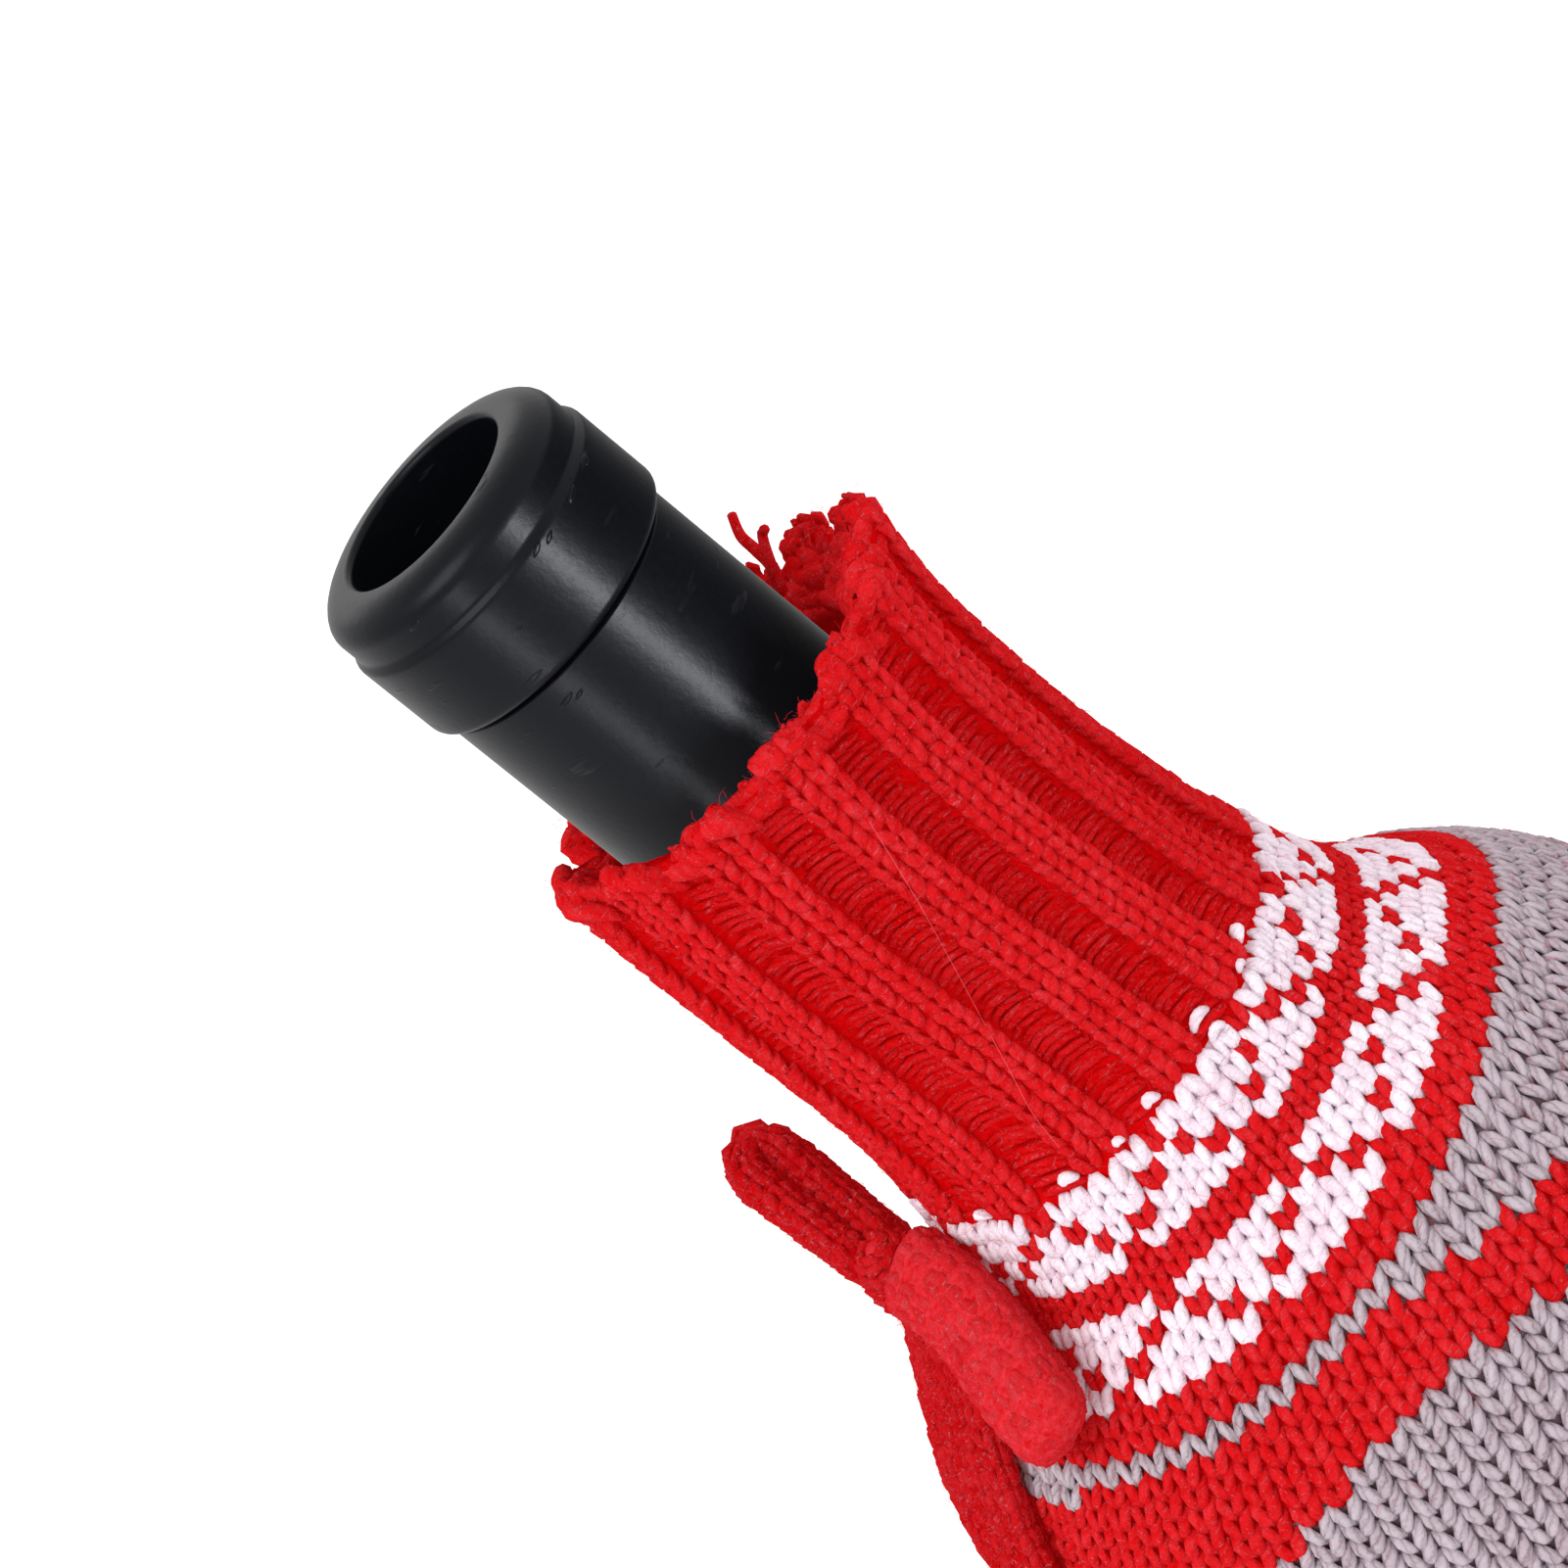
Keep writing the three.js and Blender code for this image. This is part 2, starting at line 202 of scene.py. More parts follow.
def smooth_table(table):
    """A function through a table of (x, y...) rows that never swings past them."""
    data = np.array(table, float)
    x, y = data[:, 0], data[:, 1:]
    step = np.diff(x)[:, None]
    slope = np.diff(y, axis=0) / step
    before, after = slope[:-1], slope[1:]
    same = before * after > 0
    w1, w2 = 2 * step[1:] + step[:-1], step[1:] + 2 * step[:-1]
    inner = np.where(same, (w1 + w2) / (w1 / np.where(same, before, 1) + w2 / np.where(same, after, 1)), 0)
    tangent = np.vstack([slope[:1], inner, slope[-1:]])

    def at(where):
        where = np.asarray(where, float)
        k = np.clip(np.searchsorted(x, where, side="right") - 1, 0, len(x) - 2)
        width = step[k, 0]
        t = (np.clip(where, x[0], x[-1]) - x[k]) / width
        t, width = t[..., None], width[..., None]
        out = ((1 + 2 * t) * (1 - t) ** 2 * y[k] + t * (1 - t) ** 2 * width * tangent[k]
               + t * t * (3 - 2 * t) * y[k + 1] + t * t * (t - 1) * width * tangent[k + 1])
        return out[..., 0] if out.shape[-1] == 1 else out
    return at


ring_at = smooth_table(COVER_RINGS)
wale_turn = smooth_table(WALE_TURN)
wale_spread = smooth_table(WALE_SPREAD)
course_bow = smooth_table(COURSE_BOW)
right_dip = smooth_table(RIGHT_DIP)
rib_ease = smooth_table(RIB_EASE)
rib_turn = smooth_table(RIB_TURN)

# Distance down the cloth from the foot of the collar, and the height it is at.
PATH_TOP, PATH_FOOT, PATH_STEPS = 272, -4, 6000
path_height = np.linspace(PATH_TOP, PATH_FOOT, PATH_STEPS)
path_radius = ring_at(path_height)[:, 0]
path_down = np.concatenate([[0], np.cumsum(np.hypot(np.diff(path_radius), np.diff(path_height)))])
path_down -= np.interp(-COLLAR_FOOT, -path_height, path_down)


def height_of(down):
    return np.interp(down, path_down, path_height)


def down_of(height):
    return np.interp(-np.asarray(height, float), -path_height, path_down)


def smooth_step(low, high, x):
    t = np.clip((x - low) / (high - low), 0, 1)
    return t * t * (3 - 2 * t)


def wrapped(x, full=360):
    """x as a turn of at most half of full either way from the front."""
    return (x + full / 2) % full - full / 2


def rib_sway(x):
    """Small sideways wander of each rib, in degrees, for rib number x."""
    turn = x * TAU / RIBS
    wander = 0.7 * np.sin(3 * turn + 1.3) + 0.5 * np.sin(5 * turn)
    near = np.exp(-(wrapped(x, RIBS) / SWAY_REACH) ** 4)
    seen = np.interp(wrapped(x, RIBS), list(RIB_SWAY), list(RIB_SWAY.values()))
    return near * seen + (1 - near) * wander


def rib_angle(x, down):
    """Angle in degrees of rib number x, where whole numbers are the crests."""
    return x * 360 / RIBS + rib_turn(down) + rib_sway(x)


def rib_number(angle, down):
    """The number of the rib at an angle, found by turning rib_angle round in a few steps."""
    x = (angle - rib_turn(down)) * RIBS / 360
    for _ in range(4):
        x = (angle - rib_turn(down) - rib_sway(x)) * RIBS / 360
    return x


def rib_depth(x):
    """0 on a rib's crest and 1 in the valley, for rib number x."""
    return smooth_step(*RIB_FLANK, np.abs((x + 0.5) % 1 - 0.5))


def cover_point(angle, down, lift=0.0):
    """Point of the cover's outer face: angle in degrees from the front, mm down the cloth."""
    z = height_of(down)
    radius, shift, rib, uneven, edge = np.moveaxis(ring_at(z), -1, 0)
    depth = rib_depth(rib_number(angle, down))
    turn = np.radians(angle)
    waves = 0.6 * np.sin(3 * turn + z / 45) + 0.4 * np.sin(5 * turn - z / 30)
    r = radius - rib * depth + uneven * waves + lift
    rise = edge * (SCALLOP * (0.5 - depth) + FRONT_RISE * np.cos(turn) + RIGHT_RISE * np.sin(turn))
    return np.stack([shift + r * np.sin(turn), -r * np.cos(turn), z + rise], -1)


def unit(v):
    return v / np.maximum(np.linalg.norm(v, axis=-1, keepdims=True), 1e-12)


def outward(turn):
    """The way straight out from the axis, at a turn in radians from the front."""
    return np.stack([np.sin(turn), -np.cos(turn), 0 * turn], -1)


def cover_frame(angle, down):
    """The point and the outward normal of the cover there, from the cloth close by on each side."""
    across = cover_point(angle + 0.6, down) - cover_point(angle - 0.6, down)
    along = cover_point(angle, down + 0.4) - cover_point(angle, down - 0.4)
    normal = unit(np.cross(along, across))
    out = outward(np.radians(angle))
    normal *= np.sign((normal * out).sum(-1, keepdims=True) + 1e-9)
    return cover_point(angle, down), normal


def row_foot(row):
    """How far down the cloth a course's loops end. Rows above the first and below the table are even."""
    last = len(ROW_FOOT) - 1
    inside = np.interp(row, np.arange(last + 1), ROW_FOOT)
    return np.where(row > last, ROW_FOOT[-1] + (row - last) * ROW_PITCH,
                    np.where(row < 0, ROW_FOOT[0] + row * FIRST_PITCH, inside))


def rim_rise(angle, down):
    """How much higher the collar's rim stands at the two sides of the neck."""
    aside = (np.abs(wrapped(angle)) - SIDE_RISE_AT) / SIDE_RISE_WIDTH
    return SIDE_RISE * np.exp(-aside ** 2) * smooth_step(*SIDE_RISE_HEIGHTS, -np.asarray(down))


def course_drop(angle, foot):
    """How far a course lies below its lowest line at an angle in degrees, in mm down the cloth."""
    bell = ((1 + np.cos(np.radians(angle) - BOW_LOWEST)) / 2) ** 2
    dip = np.exp(-(wrapped(angle - RIGHT_DIP_AT) / RIGHT_DIP_WIDTH) ** 2)
    return right_dip(foot) * dip - course_bow(foot) * (1 - bell) - rim_rise(angle, foot)


def knit_place(wale, row):
    """Where the cloth's wale and row numbers lie: (angle in degrees, mm down the cloth)."""
    down = foot = row_foot(row)
    straight = WALE_ANGLE * wale
    for _ in range(4):
        bare = wale_turn(down) + straight + wale_spread(down) * np.sin(np.radians(straight))
        share = (bare - rib_turn(down) + 0.5) * RIBS / 360
        angle = bare + RIB_GATHER * rib_ease(down) * np.sin(TAU * share)
        down = foot + course_drop(angle, foot)
    return angle, down


def yarn_colour(wale, row):
    """RED, WHITE or GREY for whole wale and row numbers."""
    for first, centre in MOTIF_BANDS:
        if first <= row < first + len(MOTIF):
            letters = MOTIF[row - first]
            return WHITE if letters[(wale - centre + 2) % len(letters)] == "W" else RED
    if row < WEDGE_ROW:
        return RED
    greys = min(1 + max((wale + 1) // 2, (-10 - wale) // 3, 0), WEDGE_MOST)
    last_red = min(RED_LAST_FRONT + max(wale, -2 - wale, 0) // 2, RED_LAST)
    return RED if WEDGE_ROW + greys <= row <= last_red else GREY


# ---- mesh making

# How far a strand's rounded end reaches, in half heights, and how far along the yarn strands may start.
CAP_REACH = 0.7
UV_SHIFT = 40


def make_object(name, points, quads, tris, uv=None, tone_and_painted_shade=None, slots=(), face_slot=None):
    """A smooth-shaded mesh from points in mm. uv is per corner; the shade per point holds a random tone and
    painted shade.
    """
    mesh = bpy.data.meshes.new(name)
    quads = np.asarray(quads, np.int32).reshape(-1, 4)
    tris = np.asarray(tris, np.int32).reshape(-1, 3)
    corners = np.concatenate([quads.ravel(), tris.ravel()])
    starts = np.concatenate([np.arange(len(quads)) * 4, len(quads) * 4 + np.arange(len(tris)) * 3])
    mesh.vertices.add(len(points))
    mesh.vertices.foreach_set("co", (np.asarray(points, float) * MM).astype(np.float32).ravel())
    mesh.loops.add(len(corners))
    mesh.loops.foreach_set("vertex_index", corners)
    mesh.polygons.add(len(starts))
    mesh.polygons.foreach_set("loop_start", starts.astype(np.int32))
    mesh.polygons.foreach_set("use_smooth", np.ones(len(starts), bool))
    if face_slot is not None:
        mesh.polygons.foreach_set("material_index", np.asarray(face_slot, np.int32))
    mesh.update(calc_edges=True)
    if uv is not None:
        layer = mesh.uv_layers.new(name="yarn")
        layer.data.foreach_set("uv", np.asarray(uv, np.float32).ravel())
    if tone_and_painted_shade is not None:
        layer = mesh.attributes.new("tone_and_painted_shade", "FLOAT", "POINT")
        layer.data.foreach_set("value", np.asarray(tone_and_painted_shade, np.float32))
    for slot in slots:
        mesh.materials.append(slot)
    return add_object(name, mesh)


def ring_quads(rows, sides):
    """Quads between rings of points that are listed ring after ring."""
    k, s = (g.ravel() for g in np.meshgrid(np.arange(rows - 1), np.arange(sides), indexing="ij"))
    n = (s + 1) % sides
    return np.stack([k * sides + s, k * sides + n, (k + 1) * sides + n, (k + 1) * sides + s], -1)


def cap_tris(rows, sides):
    """Triangles from the first and the last ring to two points that are listed after all the rings."""
    s = np.arange(sides)
    n = (s + 1) % sides
    last, poles = (rows - 1) * sides, rows * sides
    return np.concatenate([np.stack([n, s, 0 * s + poles], -1),
                           np.stack([last + s, last + n, 0 * s + poles + 1], -1)])


def strands(name, line, normal, width, height, sides, material, tone=0.0):
    """Closed plump strands. line is (strands, points, 3), width and height are half sizes, and the last
    argument shifts each strand lighter or darker, as painted light and shade."""
    count, length = line.shape[:2]
    width = np.broadcast_to(width, (count, length))
    height = np.broadcast_to(height, (count, length))
    along = unit(np.gradient(line, axis=1))
    side = unit(np.cross(along, np.broadcast_to(normal, line.shape)))
    top = unit(np.cross(side, along))
    phase = np.arange(sides) * TAU / sides
    rings = (line[:, :, None] + side[:, :, None] * (width[..., None] * np.cos(phase))[..., None]
             + top[:, :, None] * (height[..., None] * np.sin(phase))[..., None])
    cap = CAP_REACH * height
    start = line[:, 0] - along[:, 0] * cap[:, :1]
    end = line[:, -1] + along[:, -1] * cap[:, -1:]
    points = np.concatenate([rings.reshape(count, -1, 3), start[:, None], end[:, None]], 1)
    step = np.concatenate([[0], np.cumsum(np.linalg.norm(np.diff(line, axis=1), axis=-1).mean(0))])
    quads = ring_quads(length, sides)[:, [0, 3, 2, 1]]
    u = (quads[:, :1] % sides + np.array([0, 0, 1, 1])) / sides
    quad_uv = np.stack([u, step[quads // sides]], -1)
    tris, tri_uv = [], []
    last, per = (length - 1) * sides, length * sides + 2
    for s in range(sides):
        n, u0, u1 = (s + 1) % sides, s / sides, (s + 1) / sides
        tris += [(s, n, per - 2), (last + n, last + s, per - 1)]
        tri_uv += [((u0, 0), (u1, 0), (u0, -0.3)),
                   ((u1, step[-1]), (u0, step[-1]), (u0, step[-1] + 0.3))]
    offset = (np.arange(count) * per)[:, None, None]
    shift = np.stack([np.zeros(count), RNG.random(count) * UV_SHIFT], -1)[:, None, None]
    uv = [(np.array(v)[None] + shift).reshape(-1, 2) for v in (quad_uv, tri_uv)]
    quads, tris = (np.array(v)[None] + offset for v in (quads, tris))
    # Painted shade: a strand darkens where it is slimmer than at its plumpest, as where a leg dives under its
    # neighbours. Each strand also gets a random tone of its own and the given lighter or darker shift.
    dive_painted_shade = width / width.max(axis=1, keepdims=True) - 1
    ends = np.concatenate([np.repeat(dive_painted_shade, sides, axis=1), dive_painted_shade[:, :1], dive_painted_shade[:, -1:]], 1)
    tone_and_painted_shade = (RNG.random(count) + tone)[:, None] + ends
    return make_object(name, points.reshape(-1, 3), quads, tris, np.concatenate(uv), tone_and_painted_shade.ravel(),
                       [material])


def joined(groups):
    """Rows of arrays, as one long array for each column."""
    return [np.concatenate(column) for column in zip(*groups)]


# ---- materials

# Turn and stretch of the two sets of fine hairs on the cloth, and the noise that becomes a hair.
HAIR_STREAKS = (((0.4, 0.5, 0.2), (420.0, 3600.0, 3600.0)), ((-0.7, 0.3, 1.1), (3400.0, 380.0, 3400.0)))
HAIR_FROM, HAIR_TO = 0.58, 0.72
# Painted light: red yarn glows a little in its deep colour, which lifts the gaps between the strands.
# It stands for the light that loose red fibres pass on into those gaps.
RED_PAINTED_GLOW = 0.2


def srgb(r, g, b):
    return tuple(((c / 255 + 0.055) / 1.055) ** 2.4 if c > 10 else c / 255 / 12.92
                 for c in (r, g, b)) + (1.0,)


class Nodes:
    """A short way to write the nodes of a material, or of the world."""

    def __init__(self, owner, shader="Principled BSDF"):
        owner.use_nodes = True
        self.owner = owner
        self.tree = owner.node_tree
        self.shader = self.tree.nodes[shader]

    def put(self, node, key, value):
        """Gives a node's input a value, or links it to another node's output."""
        if hasattr(value, "is_output"):
            self.tree.links.new(value, node.inputs[key])
        else:
            node.inputs[key].default_value = value

    def set(self, **values):
        for key, value in values.items():
            self.put(self.shader, key.replace("_", " "), value)

    def new(self, kind, values=(), **settings):
        node = self.tree.nodes.new(kind)
        for key, value in settings.items():
            setattr(node, key, value)
        for key, value in values:
            self.put(node, key, value)
        return node

    def math(self, operation, *values):
        return self.new("ShaderNodeMath", enumerate(values), operation=operation).outputs[0]

    def scaled(self, value, scale, *plus):
        """value times scale, plus something where it is given."""
        return self.math("MULTIPLY_ADD" if plus else "MULTIPLY", value, scale, *plus)

    def place(self):
        return self.new("ShaderNodeNewGeometry").outputs["Position"]

    def axes(self, vector):
        return self.new("ShaderNodeSeparateXYZ", [("Vector", vector)]).outputs

    def noise(self, scale, detail, vector, rough=0.5):
        pairs = [("Scale", scale), ("Detail", detail), ("Roughness", rough), ("Vector", vector)]
        return self.new("ShaderNodeTexNoise", pairs).outputs["Fac"]

    def hairs(self, place):
        """Fine streaks in two directions, 0 to 1, where single hairs lie on the cloth."""
        streaks = []
        for angles, stretch in HAIR_STREAKS:
            pairs = [("Vector", place), ("Rotation", angles), ("Scale", stretch)]
            turned = self.new("ShaderNodeMapping", pairs).outputs[0]
            noise = self.noise(1.0, 2.0, turned)
            pairs = [("Value", noise), ("From Min", HAIR_FROM), ("From Max", HAIR_TO)]
            streaks.append(self.new("ShaderNodeMapRange", pairs).outputs[0])
        return self.math("MAXIMUM", *streaks)

    def ramp(self, fac, *stops):
        node = self.new("ShaderNodeValToRGB", [("Fac", fac)])
        elements = node.color_ramp.elements
        while len(elements) < len(stops):
            elements.new(0.5)
        for element, (where, colour) in zip(elements, stops):
            element.position = where
            element.color = colour
        return node.outputs["Color"]

    def mix(self, fac, a, b):
        return self.new("ShaderNodeMix", [(0, fac), (6, a), (7, b)], data_type="RGBA").outputs[2]

    def bump(self, height, strength, distance):
        pairs = [("Height", height), ("Strength", strength), ("Distance", distance)]
        return self.new("ShaderNodeBump", pairs).outputs["Normal"]


def new_material(name):
    return Nodes(bpy.data.materials.new(name))


def plain_material(name, **values):
    m = new_material(name)
    m.set(**values)
    return m.owner


def yarn_material(name, colours, plies, lay, ply_depth, fuzz, mottle, painted_glow=0.0):
    """Spun yarn: twisted plies along the strand, fine fibres and stray lint, each strand its own tone. Its
    colours hold painted shade in the grooves and gaps, painted highlight on the crests, painted sheen on
    loose hairs.
    """
    deep, body, bright, lint_and_sheen_colour = (srgb(*c) for c in colours)
    m = new_material(name)
    parts = m.axes(m.new("ShaderNodeUVMap", uv_map="yarn").outputs["UV"])
    around, along = parts["X"], parts["Y"]
    place = m.place()
    wobble = m.noise(1400.0, 2.0, place)
    turn = m.math("ADD", m.scaled(around, float(plies)), m.math("DIVIDE", along, lay / plies))
    turn = m.math("ADD", turn, m.scaled(wobble, 0.8))
    wave = m.math("SINE", m.scaled(turn, TAU))
    ply = m.math("POWER", m.scaled(wave, 0.5, 0.5), 0.45)
    fibre_place = m.new("ShaderNodeCombineXYZ", [("X", m.scaled(turn, 7.0)),
                                                 ("Y", m.scaled(along, 1.3))])
    fibres = m.noise(1.0, 4.0, fibre_place.outputs[0], 0.65)
    lint = m.noise(2600.0, 4.0, place, 0.7)
    patch = m.noise(120.0, 2.0, place)
    tone_and_painted_shade = m.new("ShaderNodeAttribute", attribute_name="tone_and_painted_shade").outputs["Fac"]
    # The shade mixes the ply's twist, painted darker in its grooves, with the fibres, each strand's tone and
    # painted shade, the lint and the patches.
    shade = m.scaled(ply, ply_depth, m.scaled(fibres, 0.45))
    shade = m.scaled(tone_and_painted_shade, 0.2, m.scaled(lint, mottle, shade))
    shade = m.scaled(patch, 0.22, m.math("SUBTRACT", shade, 0.11 + mottle / 2))
    colour = m.ramp(shade, (0.10, deep), (0.52, body), (0.95, bright))
    hairs = m.hairs(place)
    # The loose hairs take the lint colour, lighter than the yarn: lint and painted sheen.
    colour = m.mix(m.scaled(hairs, fuzz), colour, lint_and_sheen_colour)
    rough = m.scaled(lint, fuzz, m.scaled(hairs, fuzz))
    height = m.scaled(ply, ply_depth * 1.8, m.scaled(fibres, 0.5, rough))
    # Painted light: the yarn glows in its deep colour where a glow is given.
    m.set(Base_Color=colour, Normal=m.bump(height, 1.0, 0.00026), Roughness=1.0, Specular_IOR_Level=0.0,
          Emission_Color=deep, Emission_Strength=painted_glow)
    return m.owner


def ground_material(name, deep, light, painted_glow=0.0):
    """The matted fibres in the gaps between the strands, coloured darker than the yarn: painted shade."""
    deep, light = srgb(*deep), srgb(*light)
    m = new_material(name)
    place = m.place()
    fine = m.scaled(m.hairs(place), 0.25, m.noise(1500.0, 4.0, place, 0.65))
    # Painted light: the ground glows in its deep colour where a glow is given.
    m.set(Base_Color=m.ramp(fine, (0.3, deep), (0.75, light)), Normal=m.bump(fine, 0.8, 0.0003),
          Roughness=1.0, Specular_IOR_Level=0.0, Emission_Color=deep, Emission_Strength=painted_glow)
    return m.owner


# Each yarn's colours run from painted shade for its gaps and grooves over its body to painted highlight
# for its crests, and then its lint, lighter as painted sheen.
RED_YARN = yarn_material(
    "yarn_red", ((182, 3, 4), (200, 27, 32), (213, 66, 74), (222, 92, 101)),
    plies=2, lay=4.2, ply_depth=0.2, fuzz=0.5, mottle=0.62, painted_glow=RED_PAINTED_GLOW)
TIE_YARN = yarn_material(
    "yarn_tie", ((172, 6, 9), (194, 36, 43), (208, 70, 80), (218, 98, 108)),
    plies=2, lay=4.4, ply_depth=0.12, fuzz=0.6, mottle=0.6, painted_glow=RED_PAINTED_GLOW)
WHITE_YARN = yarn_material(
    "yarn_white", ((224, 192, 206), (244, 230, 240), (252, 243, 250), (252, 246, 252)),
    plies=2, lay=4.2, ply_depth=0.18, fuzz=0.3, mottle=0.3)
GREY_YARN = yarn_material(
    "yarn_grey", ((134, 106, 112), (184, 169, 177), (201, 189, 197), (208, 197, 205)),
    plies=3, lay=6.5, ply_depth=0.3, fuzz=0.2, mottle=0.42)
# Each ground is darker than its yarn: painted shade of the gaps between the strands.
RED_GROUND = ground_material("ground_red", (182, 0, 0), (206, 14, 18), RED_PAINTED_GLOW)
WHITE_GROUND = ground_material("ground_white", (206, 156, 168), (234, 206, 216))
GREY_GROUND = ground_material("ground_grey", (104, 74, 78), (146, 124, 130))
# The collar's ground is darker again: painted shade of its valleys.
RIB_GROUND = ground_material("ground_rib", (176, 0, 0), (198, 12, 18), RED_PAINTED_GLOW)
TIE_GROUND = ground_material("ground_tie", (178, 8, 12), (204, 54, 64), RED_PAINTED_GLOW)
# The ground of the back loop and the tails is darker again: painted shade.
TIE_PAINTED_SHADE_GROUND = ground_material("ground_tie_painted_shade", (150, 0, 4), (180, 14, 20), RED_PAINTED_GLOW / 2)
# The loose red fibres glow too: painted light.
FUZZ_RED = plain_material(
    "fuzz_red", Base_Color=srgb(214, 38, 46), Roughness=1.0, Specular_IOR_Level=0.0,
    Emission_Color=srgb(190, 0, 0), Emission_Strength=RED_PAINTED_GLOW)
FUZZ_PALE = plain_material(
    "fuzz_pale", Base_Color=srgb(232, 104, 112), Roughness=0.9, Specular_IOR_Level=0.1)
FLOOR = plain_material(
    "floor_pale", Base_Color=(0.97, 0.97, 0.975, 1), Roughness=0.9, Specular_IOR_Level=0.1)

# ---- bottle

# The neck's outline from its smooth stretch to the groove: mm under the foot of the band, and mm inwards.
GROOVE = ((12, 0), (1.2, 0), (0.7, 0), (0.55, 0), (0.45, 0.6), (0.35, 0.7), (0.1, 0.7))
# How far back sharp corners are cut, and how far in from the band's edges a row of points lies, in mm.
CORNER_CUT = 0.35
EDGE_ROW = 1.6
BOTTLE_SIDES = 128
# How fine the nicks are across and up the bottle.
NICK_SCALES = (160.0, 160.0, 560.0)
# Small raised mould marks: turn from the front, height, radius there, half length and half width.
MOULD_MARKS = ((36, 293.9, 14.72, 0.9, 0.35), (41, 294.3, 14.6, 0.5, 0.3), (12, 294.1, 14.68, 0.8, 0.35),
               (18, 293.8, 14.72, 0.6, 0.3), (-23, 282.7, 13.68, 1.0, 0.3), (-18, 282.3, 13.68, 0.6, 0.25),
               (-37, 297.2, 14.15, 0.8, 0.3), (53, 293.8, 14.72, 0.6, 0.3), (130, 294, 14.7, 0.8, 0.35),
               (215, 283, 13.68, 0.9, 0.3))
# How plump a mark is along its length, and how far it climbs, in mm.
MARK_PLUMP = np.array([0.5, 0.85, 1, 0.8, 0.4])
MARK_RISE = 0.2


def arc(cx, cz, radius, start, end, steps, tall=None):
    """Points of a round corner, or of an oval one if it is given how tall it is."""
    tall = tall or radius
    turn = np.linspace(start, end, steps + 1)
    return [(cx + radius * math.cos(t), cz + tall * math.sin(t)) for t in turn]


def shoulder(body_radius, neck_radius):
    radius = SHOULDER_RADIUS - (BODY_RADIUS - body_radius)
    convex = arc(body_radius - radius, SHOULDER_START, radius, 0, SHOULDER_ANGLE, 12)
    x, z = convex[-1]
    hollow = (x - neck_radius) / (1 - math.cos(SHOULDER_ANGLE))
    return convex + arc(neck_radius + hollow, z + hollow * math.sin(SHOULDER_ANGLE), hollow,
                        math.pi + SHOULDER_ANGLE, math.pi, 12)[1:]


def soft_corner(before, corner, after, cut, steps=3):
    """Points that round off one corner of a profile."""
    b, c, a = (np.array(p, float) for p in (before, corner, after))
    p, q = c + (b - c) / np.linalg.norm(b - c) * cut, c + (a - c) / np.linalg.norm(a - c) * cut
    return [tuple((1 - t) ** 2 * p + 2 * t * (1 - t) * c + t * t * q)
            for t in np.linspace(0, 1, steps + 1)]


def bottle_profile():
    half = math.pi / 2
    lip_foot = BOTTLE_HEIGHT - LIP_HEIGHT
    band_top, lip = (BAND_RADIUS, lip_foot - STEP_HEIGHT), (LIP_RADIUS, lip_foot)
    inner = BODY_RADIUS - WALL
    outer_round = LIP_RADIUS - BORE_RADIUS - INNER_ROUND
    outline = [(0.0, 0.0)] + arc(BODY_RADIUS - BASE_ROUND, BASE_ROUND, BASE_ROUND, -half, 0, 6)
    outline += shoulder(BODY_RADIUS, NECK_RADIUS)
    outline += [(NECK_RADIUS - depth, BAND_FOOT - drop) for drop, depth in GROOVE]
    outline += arc(BAND_RADIUS - BAND_ROUND, BAND_FOOT + BAND_ROUND, BAND_ROUND, -half, 0, 6)
    outline += [(BAND_RADIUS, BAND_FOOT + EDGE_ROW), (BAND_RADIUS, lip_foot - EDGE_ROW)]
    outline += soft_corner((BAND_RADIUS, BAND_FOOT), band_top, lip, CORNER_CUT)
    outline += soft_corner(band_top, lip, (LIP_RADIUS, BOTTLE_HEIGHT), CORNER_CUT)
    outline += arc(LIP_RADIUS - outer_round, BOTTLE_HEIGHT - LIP_ROUND, outer_round, 0, half, 9, LIP_ROUND)
    outline += arc(BORE_RADIUS + INNER_ROUND, BOTTLE_HEIGHT - INNER_ROUND, INNER_ROUND, half, 2 * half, 6)
    outline += shoulder(inner, BORE_RADIUS)[::-1] + [(inner, BASE_THICKNESS), (0.0, BASE_THICKNESS)]
    return np.array(outline)


def lathe(name, profile, sides, material):
    """Turns a closed outline about the upright axis. Its first and last points are on the axis."""
    turn = np.arange(sides) * TAU / sides
    radius, height = profile[1:-1, :1], profile[1:-1, 1:]
    points = np.stack([radius * np.sin(turn), -radius * np.cos(turn), height + 0 * turn], -1)
    points = np.concatenate([points.reshape(-1, 3), [(0, 0, profile[0, 1]), (0, 0, profile[-1, 1])]])
    rows = len(radius)
    return make_object(name, points, ring_quads(rows, sides), cap_tris(rows, sides), slots=[material])


def mould_marks(material):
    """The raised marks, each a short flat strand that follows the glass."""
    steps = np.linspace(-1, 1, len(MARK_PLUMP))
    angle, z, radius, half_length, half_width = np.array(MOULD_MARKS).T[:, :, None]
    out = outward(np.radians(angle) + steps * half_length / radius)
    line = out * radius[..., None] + UP * (z + MARK_RISE * steps)[..., None]
    size = half_width * MARK_PLUMP
    return strands("mould_marks", line, out, size, 0.4 * size, 8, material)


